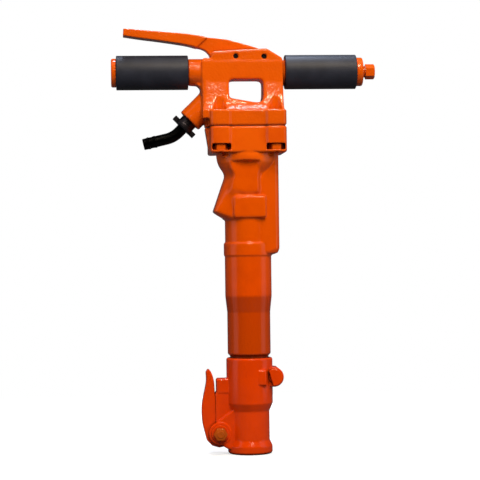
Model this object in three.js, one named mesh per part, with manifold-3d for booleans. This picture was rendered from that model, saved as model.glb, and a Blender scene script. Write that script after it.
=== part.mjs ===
// Light pneumatic breaker with a T handle, standing on its nose.
// Millimetres. Z is up along the tool's axis, X runs along the handle, the origin is the middle of the nose face.
import * as THREE from "three";
import { mergeVertices } from "three/addons/utils/BufferGeometryUtils.js";
import Module from "manifold-3d";

const wasm = await Module();
wasm.setup();

// Facets round a full turn, by how large the form is.
const wideFacets = 24;
const middleFacets = 16;
const fineFacets = 12;
const cornerFacets = 3;
const wireFacets = 2;
const sweepSteps = 10;
const turnSteps = 6;

// Gaps and cuts that every piece shares.
const gap = 0.3;
const seat = 0.06;
const overrun = 4;
const castEdge = 1.6;
const turnedEdge = 0.8;

// Front head: nose, mouth and the socket of the cylinder.
const nose = { radius: 27.3, rimRadius: 31.2, rimLength: 11, flareLength: 8, lip: 2.2 };
const mouth = { radius: 22.5, depth: 66 };
const head = { height: 134, radius: 32.3, shoulderFoot: 59.5, shoulderLength: 11.2, socketRadius: 27.2 };
const liner = { guideRadius: 20, guideLength: 8, flangeLength: 26, hexFlats: 22.6 };

// Latch: a snail-shaped hub on a bolt beside the nose, with a claw in the mouth and a thumb arm.
const latch = {
  pivotOut: 43,
  pivotUp: 29.6,
  halfWidth: 8.2,
  hubRadius: 20.5,
  camOffset: 3.5,
  camHeight: 25,
  openAngle: THREE.MathUtils.degToRad(60),
  armHeight: 89,
  armOut: 24.3,
  armIn: 4.6,
  clawFace: 10,
  edge: 1.2,
};
// Thumb arm: outer and inner edges as shares of the arm's reach outward and of its height.
const armOuterShares = [[0.99, 0.19], [1.0, 0.445], [0.815, 0.695], [0.74, 0.82], [0.757, 0.95]];
const armTipShare = [0.617, 1.0];
const armInnerShares = [[0.44, 0.946], [0.3, 0.82], [0.265, 0.69], [0.25, 0.62]];
const armFootShare = 0.36;
const armPadShare = 0.56;
const latchBolt = { radius: 6, flats: 19, headLength: 7.5, nutLength: 10, washerRadius: 12, washerLength: 2.5 };
const cheek = { thickness: 7.6, bossRadius: 15.5, bossProud: 1, rootUp: 66, rootDown: 5 };

// Spring plunger that presses the latch shut.
const plunger = { radius: 4.1, length: 24, noseRound: 1 };
const plungerHousing = {
  wall: 3.2,
  guideLength: 24.5,
  skirtOut: 48.7,
  skirtHalfWidth: 11,
  blockLength: 21,
  blockHalfWidth: 12,
  corner: 4,
  roof: 5,
};
const latchSpring = { wire: 0.65, radius: 3.2, turns: 5 };

// Bolt with a D-shaped head that locks the front head on the cylinder.
const lockBolt = {
  out: 33,
  rise: 7,
  radius: 8,
  headRadius: 11.5,
  headLength: 7,
  flatOut: 4.8,
  flatLean: THREE.MathUtils.degToRad(16.5),
  nutFlats: 24,
  nutLength: 12,
  washerRadius: 12.6,
  washerLength: 2.5,
};
const lockBoss = { radius: 13.6, halfWidth: 19, keyLength: 13, keyHeight: 22, keyProud: 3 };

// Cylinder, from its foot on the front head up to the joint with the backhead.
const cylinder = {
  jointGap: 3.6,
  footChamfer: 1.8,
  lowRadius: 30.05,
  lowLength: 60,
  taperLength: 22.3,
  barrelRadius: 32.5,
  barrelLength: 56.3,
  bandRadius: 33.8,
  bandLength: 18.9,
  bodyRadius: 31.8,
  bodyLength: 90,
  bellLength: 33.4,
  bellRadius: 43,
  bellHollowShare: 0.35,
};
const flange = {
  halfWidth: 53,
  halfDepth: 47,
  corner: 9,
  skirtLength: 12.5,
  lowerLength: 24,
  upperLength: 22,
  lobeWidth: 26,
  recess: 3.8,
  recessSlope: 4,
  gasket: 0.8,
};
const bore = { radius: 22.3, guideRadius: 16.2, guideTop: 205 };
const chest = { radius: 30, length: 48 };
const passage = { radius: 4, out: 36.6, portRise: 10 };
const rib = { out: 43.6, halfWidth: 22, corner: 12, footRise: 1.5, footRound: 8 };
const pad = { left: 21.5, right: 23.9, foot: 328.6, length: 30.8, proud: 3.4 };
const hood = { out: 48.3, lipUp: 338, rootUp: 388, underUp: 325, halfWidth: 26, corner: 8, wall: 3.4, ductHalfWidth: 13.2 };
const sideRoot = { out: 58.6, halfWidth: 13 };

// Piston and air valve.
const piston = { headLength: 80, cushion: 3, foot: 150, chamfer: 2 };
const valve = {
  seatLength: 16,
  discRadius: 20,
  discLength: 3.4,
  discLift: 2.4,
  capLength: 28,
  portRadius: 9,
};
const valveRing = { radius: 28, width: 4, length: 1.6, crown: 2 };
const dowel = { radius: 2.5, out: 25.5, length: 34 };

// Flange bolts with hex heads in pockets under the flange.
const flangeBolt = { radius: 6, inX: 14.5, inY: 13.4, flats: 19, headLength: 8, reach: 42, washer: 1.6 };
const pocket = { radius: 11.8, sillLength: 3.5, sideWall: 2.6, innerReach: 14 };

// Backhead: arms, beam, legs, window and ears.
const handle = {
  rise: 55,
  neckRadius: 19,
  leftNeck: 81,
  rightNeck: 54.6,
  armRadius: 16.8,
  armBore: 11,
  plugBore: 8.6,
  plugBoreLength: 16,
};
const grip = { radius: 24, length: 100, edge: 1.2 };
const cap = { radius: 20, length: 7, edge: 2.4, spigotLength: 16 };
const collar = { length: 9.4, edge: 3 };
const oilPlug = {
  flats: 18.5,
  headLength: 12.8,
  neckLength: 4.4,
  neckRadius: 8,
  threadLength: 14,
  turn: THREE.MathUtils.degToRad(6.6),
};
const beam = { halfDepth: 21, corner: 6 };
const leg = { left: 62.5, right: 50.6, footHalfDepth: 37, flareIn: 12, flareUp: 8, flareLength: 40 };
const windowCut = { left: 24.8, right: 22.9, topDrop: 11, leftFoot: 17.7, rightFoot: 8.8 };
const windowCorner = { top: 6, left: 4, right: 10 };
const notchRadius = 6;
const ear = {
  left: 51,
  right: 50,
  topLeft: 47,
  topRight: 28,
  leftRise: 82.8,
  rise: 86.8,
  heelRise: 73.2,
  gapHalf: 9.8,
  halfDepth: 20.5,
};
const earCorner = { left: 5, right: 7, heel: 3 };
const leverSlot = { left: 57.5, leftRise: 69.7, floorLeft: 52.5, floorRight: 12, slopeRight: 30, slopeUp: 3.2, endUp: 5.2 };
const spotFace = { radius: 8.8, length: 40 };

// Throttle: valve under the lever in the left leg.
const throttle = {
  out: 40,
  boreRadius: 9,
  stemRadius: 3.5,
  stemRise: 71.4,
  headRadius: 7.4,
  headLength: 7,
  inletRise: 26.7,
  seatRise: 36,
  seatLength: 9,
  seatBore: 6,
  roofRise: 58,
  plugLength: 13,
  plugHexFlats: 8,
};
const throttleSpring = { wire: 1, radius: 6, turns: 6 };
const duct = { radius: 5.5, legRadius: 6.5, legOut: 36.5, rise: 52, footUp: 10, pocketRadius: 24, pocketDepth: 9 };

// Lever over the left grip.
const lever = {
  pivotX: 24.6,
  pivotRise: 75.4,
  stopX: 14.8,
  stopRise: 75.9,
  pinRadius: 3.4,
  reach: 171,
  height: 51,
  hubHalfWidth: 9.3,
  paddleHalfWidth: 13,
  travel: THREE.MathUtils.degToRad(7),
  edge: 0.8,
  slotFloor: 62.5,
};
// Lever outlines: x as shares of the reach, z as shares of the height above the slot's floor.
const paddleTopShares = [[-0.996, 1.043], [-0.94, 1.03], [-0.7, 0.96], [-0.5, 0.905], [-0.37, 0.843], [-0.312, 0.794]];
const paddleFootShares = [[-0.402, 0.522], [-0.502, 0.607], [-0.7, 0.71], [-0.86, 0.78], [-1.0, 0.853]];
const hubTopShares = [[-0.37, 0.83], [-0.32, 0.8], [-0.174, 0.751], [-0.043, 0.643], [0.104, 0.494], [0.2, 0.37]];
const hubHeelShares = [[0.2, 0.37], [0.255, 0.31], [0.268, 0.25], [0.245, 0.17]];
const hubFootShares = [[0.215, 0.115], [-0.09, 0.118], [-0.155, 0.17], [-0.27, 0.19], [-0.29, 0.24]];
const hubThroatShares = [[-0.29, 0.24], [-0.306, 0.363], [-0.35, 0.48], [-0.43, 0.55]];

// Inlet boss at 45 degrees, with the swivel stem and its wing nut.
const inlet = {
  angle: THREE.MathUtils.degToRad(225),
  faceOut: 79.5,
  bossRadius: 17.5,
  bossRoot: 12,
  passageRadius: 8,
  threadRadius: 12.3,
};
const nut = { neckLength: 7.6, barLength: 6.8, barHalf: 19, barHalfWidth: 7, hubRadius: 14.5, threadLength: 8 };
const stem = {
  radius: 7.9,
  bore: 5.1,
  flangeRadius: 11.4,
  flangeLength: 4,
  straight: 21,
  bendRadius: 37,
  bend: THREE.MathUtils.degToRad(32),
  tail: 33,
  barbRadius: 8.6,
  barbLength: 4.5,
  barbs: 2,
};
const swivelSeal = { length: 2, boreRadius: 6 };
const screen = { radius: 7.4, length: 9, wall: 0.8, rimLength: 1, holeRadius: 1.3 };

// Places that follow from the sizes above.
const linerStep = mouth.depth + liner.guideLength;
const linerTop = linerStep + liner.flangeLength;
const cylinderFoot = head.height + cylinder.jointGap;
const lowTop = cylinderFoot + cylinder.lowLength;
const taperTop = lowTop + cylinder.taperLength;
const bandFoot = taperTop + cylinder.barrelLength;
const bandTop = bandFoot + cylinder.bandLength;
const bodyTop = bandTop + cylinder.bodyLength;
const skirtFoot = bodyTop + cylinder.bellLength;
const flangeFoot = skirtFoot + flange.skirtLength;
const jointHeight = flangeFoot + flange.lowerLength;
const backheadFoot = jointHeight + flange.gasket;
const shelf = backheadFoot + flange.upperLength;
const handleHeight = shelf + handle.rise;
const chestFoot = jointHeight - chest.length;
const boltX = flange.halfWidth - flangeBolt.inX;
const boltY = flange.halfDepth - flangeBolt.inY;
const cheekInner = latch.halfWidth + gap;
const cheekOuter = cheekInner + cheek.thickness;
const camTop = latch.camHeight + latch.camOffset * latch.openAngle;
const clawReach = Math.hypot(latch.camOffset, camTop);
const plungerX = latch.camOffset - latch.pivotOut;
const plungerFoot = latch.pivotUp + latch.camHeight + gap;
const guideFoot = latch.pivotUp + clawReach + gap * 5;
const blockFoot = guideFoot + plungerHousing.guideLength;
const blockTop = blockFoot + plungerHousing.blockLength;
const plungerBore = plunger.radius + gap;
const plungerRoof = blockTop - plungerHousing.roof;
const lockHeight = linerTop + lockBolt.rise;
const slotFloor = backheadFoot + flange.upperLength + lever.slotFloor;
const pivotHeight = shelf + lever.pivotRise;
const stopHeight = shelf + lever.stopRise;
const inletDirection = new THREE.Vector3(Math.cos(inlet.angle), 0, Math.sin(inlet.angle));
const throttleHeight = shelf + throttle.inletRise;
const inletCross = new THREE.Vector3(-throttle.out, 0, throttleHeight);
const inletReach = (throttle.out - inlet.faceOut) / Math.cos(inlet.angle);
const inletFace = inletCross.clone().addScaledVector(inletDirection, inletReach);
const beamTop = handleHeight + handle.neckRadius;
const neckFoot = handleHeight - handle.neckRadius;
const leftEnd = handle.leftNeck + grip.length;
const rightEnd = handle.rightNeck + grip.length;
const threadDepth = nut.threadLength + stem.flangeLength + swivelSeal.length + screen.rimLength + 4 * seat;

const up = new THREE.Vector3(0, 0, 1);
const down = new THREE.Vector3(0, 0, -1);
const right = new THREE.Vector3(1, 0, 0);
const left = new THREE.Vector3(-1, 0, 0);
const front = new THREE.Vector3(0, -1, 0);
const back = new THREE.Vector3(0, 1, 0);
const at = (x, y, z) => new THREE.Vector3(x, y, z);

const orange = { color: 0xf26000, roughness: 0.3, metalness: 0 };
const finishes = {
  paint: new THREE.MeshStandardMaterial(orange),
  rubber: new THREE.MeshStandardMaterial({ color: 0x2a2b30, roughness: 0.62, metalness: 0 }),
  blackened: new THREE.MeshStandardMaterial({ color: 0x17181a, roughness: 0.4, metalness: 0.6 }),
  zinc: new THREE.MeshStandardMaterial({ color: 0x4a464c, roughness: 0.45, metalness: 0.8 }),
  steel: new THREE.MeshStandardMaterial({ color: 0x9da1a6, roughness: 0.35, metalness: 1 }),
  seal: new THREE.MeshStandardMaterial({ color: 0x1c1c1c, roughness: 0.8, metalness: 0 }),
};

// A closed geometry as a solid for joining and cutting, turned right side out. Where a bevel takes a whole corner
// round, the faces that it closes to a line are left out.
function solid(geometry) {
  const bare = new THREE.BufferGeometry();
  bare.setAttribute("position", geometry.getAttribute("position"));
  bare.setIndex(geometry.getIndex());
  const merged = mergeVertices(bare);
  const points = merged.getAttribute("position").array;
  const faces = [...merged.getIndex().array];
  const kept = faces.filter((corner, i) => {
    const [a, b, c] = faces.slice(i - (i % 3), i - (i % 3) + 3);
    return a !== b && b !== c && c !== a;
  });
  const corners = Uint32Array.from(kept);
  const made = new wasm.Manifold(new wasm.Mesh({ numProp: 3, vertProperties: points, triVerts: corners }));
  if (made.volume() > 0) return made;
  for (let i = 0; i < corners.length; i += 3) corners.subarray(i, i + 2).reverse();
  return new wasm.Manifold(new wasm.Mesh({ numProp: 3, vertProperties: points, triVerts: corners }));
}

// Moves a geometry made along +Z so that it starts at a point and runs in a direction.
function aimed(geometry, start, direction) {
  geometry.applyQuaternion(new THREE.Quaternion().setFromUnitVectors(up, direction));
  geometry.translate(start.x, start.y, start.z);
  return geometry;
}

// A round bar from a start point along a direction.
function rod(radius, length, start, direction, facets = fineFacets) {
  const bar = new THREE.CylinderGeometry(radius, radius, length, facets);
  bar.rotateX(Math.PI / 2);
  bar.translate(0, 0, length / 2);
  return solid(aimed(bar, start, direction));
}

// A hexagonal bar, with two of its flats facing along the given turn.
function hexBar(flats, length, start, direction, turn = 0) {
  const cornerRadius = flats / 2 / Math.cos(Math.PI / 6);
  const bar = new THREE.CylinderGeometry(cornerRadius, cornerRadius, length, 6);
  bar.rotateX(Math.PI / 2);
  bar.rotateZ(turn);
  bar.translate(0, 0, length / 2);
  return solid(aimed(bar, start, direction));
}

// A turned piece from a closed profile of [radius, height] points.
function turned(profile, start = at(0, 0, 0), direction = up, facets = wideFacets) {
  const points = profile.map(([radius, height]) => new THREE.Vector2(radius, height));
  points.push(points[0].clone());
  const lathe = new THREE.LatheGeometry(points, facets);
  lathe.rotateX(Math.PI / 2);
  return solid(aimed(lathe, start, direction));
}

// A turned ring or disc with small chamfers on its outer edges.
function ring(inner, outer, length, start, direction, edge = turnedEdge, facets = middleFacets) {
  const profile = [
    [inner, 0],
    [outer - edge, 0],
    [outer, edge],
    [outer, length - edge],
    [outer - edge, length],
    [inner, length],
  ];
  return turned(profile, start, direction, facets);
}

// A closed outline with its corners rounded, from [x, y, radius] corners.
function rounded(corners) {
  const shape = new THREE.Shape();
  const last = corners.length - 1;
  corners.forEach(([x, y, radius], i) => {
    const corner = new THREE.Vector2(x, y);
    const before = new THREE.Vector2(...corners[i === 0 ? last : i - 1]).sub(corner);
    const after = new THREE.Vector2(...corners[i === last ? 0 : i + 1]).sub(corner);
    const half = before.angleTo(after) / 2;
    const cut = Math.min(radius / Math.tan(half), before.length() / 2, after.length() / 2);
    const from = corner.clone().add(before.setLength(cut));
    const to = corner.clone().add(after.setLength(cut));
    if (i === 0) shape.moveTo(from.x, from.y);
    else shape.lineTo(from.x, from.y);
    if (radius > 0) shape.quadraticCurveTo(x, y, to.x, to.y);
  });
  return shape;
}

// A prism of an outline, from 0 to a length along +Z, with optional rounded ends.
function prism(shape, length, edge) {
  const flat = { depth: length, bevelEnabled: false, curveSegments: cornerFacets };
  const eased = {
    depth: length - 2 * edge,
    bevelThickness: edge,
    bevelSize: edge,
    bevelOffset: -edge,
    bevelSegments: 1,
    curveSegments: cornerFacets,
  };
  const geometry = new THREE.ExtrudeGeometry(shape, edge > 0 ? eased : flat);
  geometry.translate(0, 0, edge);
  return geometry;
}

// An outline in X and Z, run through the part from front to back.
function across(shape, frontY, backY, edge = 0) {
  const geometry = prism(shape, backY - frontY, edge);
  geometry.rotateX(Math.PI / 2);
  geometry.translate(0, backY, 0);
  return solid(geometry);
}

// An outline in X and Y, raised from a foot to a top.
function raised(shape, foot, top, edge = 0) {
  const geometry = prism(shape, top - foot, edge);
  geometry.translate(0, 0, foot);
  return solid(geometry);
}

// An outline in Y and Z, run from left to right.
function sideways(shape, leftX, rightX) {
  const geometry = prism(shape, rightX - leftX, 0);
  geometry.applyMatrix4(new THREE.Matrix4().makeBasis(back, up, right));
  geometry.translate(leftX, 0, 0);
  return solid(geometry);
}

// A box outline with rounded corners.
function boxOutline(lowX, highX, lowY, highY, corner = 0) {
  return rounded([
    [lowX, lowY, corner],
    [highX, lowY, corner],
    [highX, highY, corner],
    [lowX, highY, corner],
  ]);
}

const join = (...solids) => solids.reduce((whole, next) => whole.add(next));
const cut = (whole, ...cutters) => cutters.reduce((rest, next) => rest.subtract(next), whole);
// The tightest convex form round several solids: a blend that runs from one into the next without a line.
const blend = (...solids) => wasm.Manifold.hull(solids);

const part = new THREE.Group();

// Adds one named piece to the part.
function piece(name, made, finish) {
  const mesh = made.getMesh();
  const geometry = new THREE.BufferGeometry();
  geometry.setAttribute("position", new THREE.Float32BufferAttribute(mesh.vertProperties, mesh.numProp));
  geometry.setIndex([...mesh.triVerts]);
  const added = new THREE.Mesh(geometry, finish.clone());
  added.name = name;
  part.add(added);
}

// A coil spring of round wire about a vertical axis, as one closed tube.
function coil(spring, x, foot, length) {
  const rise = length - 2 * spring.wire;
  const steps = spring.turns * turnSteps;
  const points = [];
  for (let i = 0; i <= steps; i += 1) {
    const angle = (i / steps) * spring.turns * 2 * Math.PI;
    const height = foot + spring.wire + (i / steps) * rise;
    points.push(at(x + spring.radius * Math.cos(angle), spring.radius * Math.sin(angle), height));
  }
  const wire = new THREE.Shape().absarc(0, 0, spring.wire, 0, 2 * Math.PI);
  const path = new THREE.CatmullRomCurve3(points);
  return solid(new THREE.ExtrudeGeometry(wire, { steps, curveSegments: wireFacets, extrudePath: path, bevelEnabled: false }));
}

// Chuck liner: the hex socket of the tool shank.
function chuckLiner() {
  const body = turned([
    [0, mouth.depth],
    [liner.guideRadius, mouth.depth],
    [liner.guideRadius, linerStep + seat],
    [head.socketRadius - gap, linerStep + seat],
    [head.socketRadius - gap, linerTop - turnedEdge],
    [head.socketRadius - gap - turnedEdge, linerTop],
    [0, linerTop],
  ]);
  const socket = hexBar(liner.hexFlats, linerTop, at(0, 0, overrun), up, Math.PI / 6);
  return cut(body, socket);
}

// Outline of one latch cheek, from its boss to the side of the nose.
function cheekOutline() {
  const rootX = cheek.thickness / 2 - mouth.radius;
  const rise = cheek.rootUp - latch.pivotUp;
  const run = latch.pivotOut + rootX;
  const touch = Math.atan2(rise, run) + Math.acos(cheek.bossRadius / Math.hypot(rise, run));
  const topX = -latch.pivotOut + cheek.bossRadius * Math.cos(touch);
  const topZ = latch.pivotUp + cheek.bossRadius * Math.sin(touch);
  return rounded([
    [topX, topZ, 0],
    [-latch.pivotOut, latch.pivotUp - cheek.bossRadius, 0],
    [-nose.rimRadius, cheek.rootDown + nose.lip, 0],
    [rootX, cheek.rootDown, 0],
    [rootX, cheek.rootUp, 0],
  ]);
}

// The lock bolt's head, or the room for it: a disc with one leaning flat.
function lockHead(radius, flatOut, length, backY) {
  const disc = rod(radius, length, at(lockBolt.out, backY, lockHeight), front, middleFacets);
  const flatAngle = Math.PI + lockBolt.flatLean;
  const direction = at(Math.cos(flatAngle), 0, Math.sin(flatAngle));
  const start = at(lockBolt.out, backY - length / 2, lockHeight).addScaledVector(direction, flatOut);
  return cut(disc, rod(length + radius, radius, start, direction));
}

// Front head: nose, mouth, latch cheeks, plunger housing and lock bolt boss in one casting.
function frontHead() {
  const rimTop = nose.rimLength + nose.flareLength;
  const shoulderTop = head.shoulderFoot + head.shoulderLength;
  let body = turned([
    [0, 0],
    [nose.rimRadius - nose.lip, 0],
    [nose.rimRadius, nose.lip],
    [nose.rimRadius, nose.rimLength],
    [nose.radius, rimTop],
    [nose.radius, head.shoulderFoot],
    [head.radius, shoulderTop],
    [head.radius, head.height - castEdge],
    [head.radius - castEdge, head.height],
    [0, head.height],
  ]);
  for (const side of [-1, 1]) {
    const inner = side * cheekInner;
    const outer = side * cheekOuter;
    const plate = across(cheekOutline(), Math.min(inner, outer), Math.max(inner, outer), castEdge);
    const boss = rod(
      cheek.bossRadius,
      cheek.thickness + cheek.bossProud,
      at(-latch.pivotOut, inner, latch.pivotUp),
      side > 0 ? back : front,
      wideFacets,
    );
    body = join(body, plate, boss);
  }
  const housingOut = plungerX - plungerBore - plungerHousing.wall;
  const { blockHalfWidth, skirtHalfWidth, skirtOut } = plungerHousing;
  const block = boxOutline(housingOut, -mouth.radius, -blockHalfWidth, blockHalfWidth, plungerHousing.corner);
  const skirtFoot = latch.pivotUp + cheek.bossRadius * Math.SQRT1_2;
  const skirt = boxOutline(-skirtOut, -mouth.radius, skirtFoot, blockFoot + castEdge);
  body = join(
    body,
    across(skirt, -skirtHalfWidth, skirtHalfWidth, castEdge),
    raised(block, blockFoot, blockTop, castEdge),
  );
  const bossSpan = 2 * lockBoss.halfWidth;
  const boss = rod(lockBoss.radius, bossSpan, at(lockBolt.out, -lockBoss.halfWidth, lockHeight), back, wideFacets);
  const keyRight = lockBolt.out - lockBolt.headRadius;
  const keyMiddle = keyRight - lockBoss.keyLength / 2;
  const keyFront = -Math.sqrt(head.radius ** 2 - keyMiddle ** 2) - lockBoss.keyProud;
  const key = boxOutline(
    keyRight - lockBoss.keyLength,
    keyRight,
    lockHeight - lockBoss.keyHeight / 2,
    lockHeight + lockBoss.keyHeight / 2,
  );
  body = join(body, boss, across(key, keyFront, 0, castEdge));
  const nutRoom = lockBolt.nutFlats / 2 / Math.cos(Math.PI / 6) + gap * 2;
  body = cut(
    body,
    lockHead(lockBolt.headRadius + gap * 2, lockBolt.flatOut + gap * 2, head.radius, -lockBoss.halfWidth),
    rod(nutRoom, head.radius, at(lockBolt.out, lockBoss.halfWidth, lockHeight), back, middleFacets),
    rod(lockBolt.radius + gap, bossSpan * 2, at(lockBolt.out, -bossSpan, lockHeight), back),
    rod(mouth.radius, mouth.depth + overrun, at(0, 0, -overrun), up, wideFacets),
    rod(liner.guideRadius + gap, liner.guideLength + overrun * 2, at(0, 0, mouth.depth - overrun), up, wideFacets),
    rod(head.socketRadius, head.height + overrun - linerStep, at(0, 0, linerStep), up, wideFacets),
    rod(plungerBore, plungerRoof - guideFoot + overrun, at(plungerX, 0, guideFoot - overrun), up),
    rod(latchBolt.radius + gap, cheekOuter * 4, at(-latch.pivotOut, -cheekOuter * 2, latch.pivotUp), back),
  );
  const slotRight = clawReach + gap * 6 - latch.pivotOut;
  const slotFoot = latch.pivotUp - latch.hubRadius - gap;
  const slot = boxOutline(-latch.pivotOut * 2, slotRight, slotFoot, guideFoot);
  const armRoom = boxOutline(-latch.pivotOut * 2, housingOut, guideFoot - overrun, blockFoot + overrun);
  return cut(body, across(slot, -cheekInner, cheekInner), across(armRoom, -cheekInner, cheekInner));
}

// Latch: the hub's snail ends in the claw, and lifts the plunger evenly as the latch opens.
function latchPiece() {
  const share = ([outward, high]) =>
    new THREE.Vector2(-latch.pivotOut - outward * latch.armOut, latch.pivotUp + high * latch.armHeight);
  const beside = ([x, z]) => [x - latch.pivotOut, z + latch.pivotUp];
  const camPoint = (turn) => {
    const lift = latch.camHeight + latch.camOffset * turn;
    return [
      latch.camOffset * Math.cos(turn) + lift * Math.sin(turn),
      lift * Math.cos(turn) - latch.camOffset * Math.sin(turn),
    ];
  };
  const camSteps = 9;
  const outline = new THREE.Shape();
  outline.moveTo(...beside([-latch.armIn, latch.armHeight * armPadShare]));
  outline.lineTo(...beside([-latch.armIn, latch.armHeight * armFootShare]));
  outline.quadraticCurveTo(...beside([-latch.armIn, latch.camHeight]), ...beside([0, latch.camHeight]));
  for (let i = 0; i <= camSteps; i += 1) outline.lineTo(...beside(camPoint((latch.openAngle * i) / camSteps)));
  const [clawX, clawZ] = camPoint(latch.openAngle);
  const clawFoot = clawZ - latch.clawFace;
  outline.quadraticCurveTo(...beside([clawX, clawFoot]), ...beside([latch.hubRadius, clawFoot - latch.edge]));
  const hubStart = Math.asin((clawFoot - latch.edge * 2) / latch.hubRadius);
  outline.absarc(-latch.pivotOut, latch.pivotUp, latch.hubRadius, hubStart, -Math.PI, true);
  outline.splineThru(armOuterShares.map(share));
  outline.splineThru([armTipShare, ...armInnerShares].map(share));
  const body = across(outline, -latch.halfWidth, latch.halfWidth, latch.edge);
  const holeStart = at(-latch.pivotOut, -cheekOuter, latch.pivotUp);
  return cut(body, rod(latchBolt.radius + gap, cheekOuter * 2, holeStart, back));
}

// Bolt, washer and nut of the latch, with the nut at the front.
function latchFasteners() {
  const face = cheekInner + cheek.thickness + cheek.bossProud + seat;
  const axisAt = (y) => at(-latch.pivotOut, y, latch.pivotUp);
  const nutFace = face + latchBolt.washerLength + seat;
  const shankEnd = nutFace + latchBolt.nutLength + turnedEdge;
  const shank = rod(latchBolt.radius, face + shankEnd, axisAt(-shankEnd), back);
  const boltHead = hexBar(latchBolt.flats, latchBolt.headLength, axisAt(face), back);
  piece("latch_bolt", join(shank, boltHead), finishes.paint);
  const hole = latchBolt.radius + gap;
  const washer = ring(hole, latchBolt.washerRadius, latchBolt.washerLength, axisAt(-face), front);
  piece("latch_washer", washer, finishes.paint);
  const blank = hexBar(latchBolt.flats, latchBolt.nutLength, axisAt(-nutFace), front);
  piece("latch_nut", cut(blank, rod(hole, shankEnd, axisAt(0), front)), finishes.paint);
}

// Plunger and spring above the latch.
function latchPlunger() {
  const body = turned(
    [
      [0, 0],
      [plunger.radius - plunger.noseRound, 0],
      [plunger.radius, plunger.noseRound],
      [plunger.radius, plunger.length],
      [0, plunger.length],
    ],
    at(plungerX, 0, plungerFoot),
    up,
    fineFacets,
  );
  piece("latch_plunger", body, finishes.steel);
  const springFoot = plungerFoot + plunger.length + seat;
  piece("latch_spring", coil(latchSpring, plungerX, springFoot, plungerRoof - seat - springFoot), finishes.steel);
}

// The D-headed lock bolt, with its washer and nut at the back.
function lockFasteners() {
  const axisAt = (y) => at(lockBolt.out, y, lockHeight);
  const face = lockBoss.halfWidth + seat;
  const nutFace = face + lockBolt.washerLength + seat;
  const shankEnd = nutFace + lockBolt.nutLength + turnedEdge;
  const shank = rod(lockBolt.radius, face + shankEnd, axisAt(-face), back);
  const boltHead = lockHead(lockBolt.headRadius, lockBolt.flatOut, lockBolt.headLength, -face);
  piece("lock_bolt", join(shank, boltHead), finishes.paint);
  const hole = lockBolt.radius + gap;
  piece("lock_washer", ring(hole, lockBolt.washerRadius, lockBolt.washerLength, axisAt(face), back, 0), finishes.paint);
  const blank = hexBar(lockBolt.nutFlats, lockBolt.nutLength, axisAt(nutFace), back);
  piece("lock_nut", cut(blank, rod(hole, shankEnd, axisAt(0), back)), finishes.paint);
}

// Plan of the flanges: four corner lobes with a shallow recess between them at front and back.
function flangeOutline(inset = 0) {
  const x = flange.halfWidth - inset;
  const y = flange.halfDepth - inset;
  const lobe = x - flange.lobeWidth;
  const valley = lobe - flange.recessSlope;
  const inner = y - flange.recess;
  return rounded([
    [-x, -y, flange.corner],
    [-lobe, -y, 0],
    [-valley, -inner, 0],
    [valley, -inner, 0],
    [lobe, -y, 0],
    [x, -y, flange.corner],
    [x, y, flange.corner],
    [lobe, y, 0],
    [valley, inner, 0],
    [-valley, inner, 0],
    [-lobe, y, 0],
    [-x, y, flange.corner],
  ]);
}

// Calls a function for each corner bolt with its place.
function atBolts(make) {
  for (const sideX of [-1, 1]) for (const sideY of [-1, 1]) make(sideX * boltX, sideY * boltY, sideX, sideY);
}

// Turned outside of the cylinder, from its spigot in the front head to the flange.
function cylinderProfile() {
  const bend = bodyTop + cylinder.bellLength * cylinder.bellHollowShare;
  const bell = new THREE.CubicBezierCurve(
    new THREE.Vector2(cylinder.bodyRadius, bodyTop),
    new THREE.Vector2(cylinder.bodyRadius, bend),
    new THREE.Vector2(cylinder.bellRadius, bend),
    new THREE.Vector2(cylinder.bellRadius, skirtFoot + castEdge),
  );
  return [
    [0, linerTop + gap],
    [head.socketRadius - gap, linerTop + gap],
    [head.socketRadius - gap, cylinderFoot],
    [cylinder.lowRadius - cylinder.footChamfer, cylinderFoot],
    [cylinder.lowRadius, cylinderFoot + cylinder.footChamfer],
    [cylinder.lowRadius, lowTop],
    [cylinder.barrelRadius, taperTop],
    [cylinder.barrelRadius, bandFoot],
    [cylinder.bandRadius, bandFoot],
    [cylinder.bandRadius, bandTop - castEdge],
    [cylinder.bodyRadius, bandTop],
    ...bell.getPoints(cornerFacets + 1).map(({ x, y }) => [x, y]),
    [cylinder.bellRadius, flangeFoot],
    [0, flangeFoot],
  ];
}

// The round of the barrel from one height to another, just under its skin, for what runs out of it.
function barrelCore(foot, top) {
  return rod(cylinder.bodyRadius - seat, top - foot, at(0, 0, foot), up, wideFacets);
}

// Air passage rib: a broad lobe that runs out of the barrel, round at its foot.
function ribLobe() {
  const foot = bandFoot + rib.footRise;
  const lobe = (inset, rise) => {
    const y = rib.halfWidth - inset;
    return raised(boxOutline(0, rib.out - inset, -y, y, rib.corner - inset), foot + rise, flangeFoot);
  };
  const round = rib.footRound * (1 - Math.SQRT1_2);
  return blend(barrelCore(foot, flangeFoot), lobe(rib.footRound, 0), lobe(round, round), lobe(0, rib.footRound));
}

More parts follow.
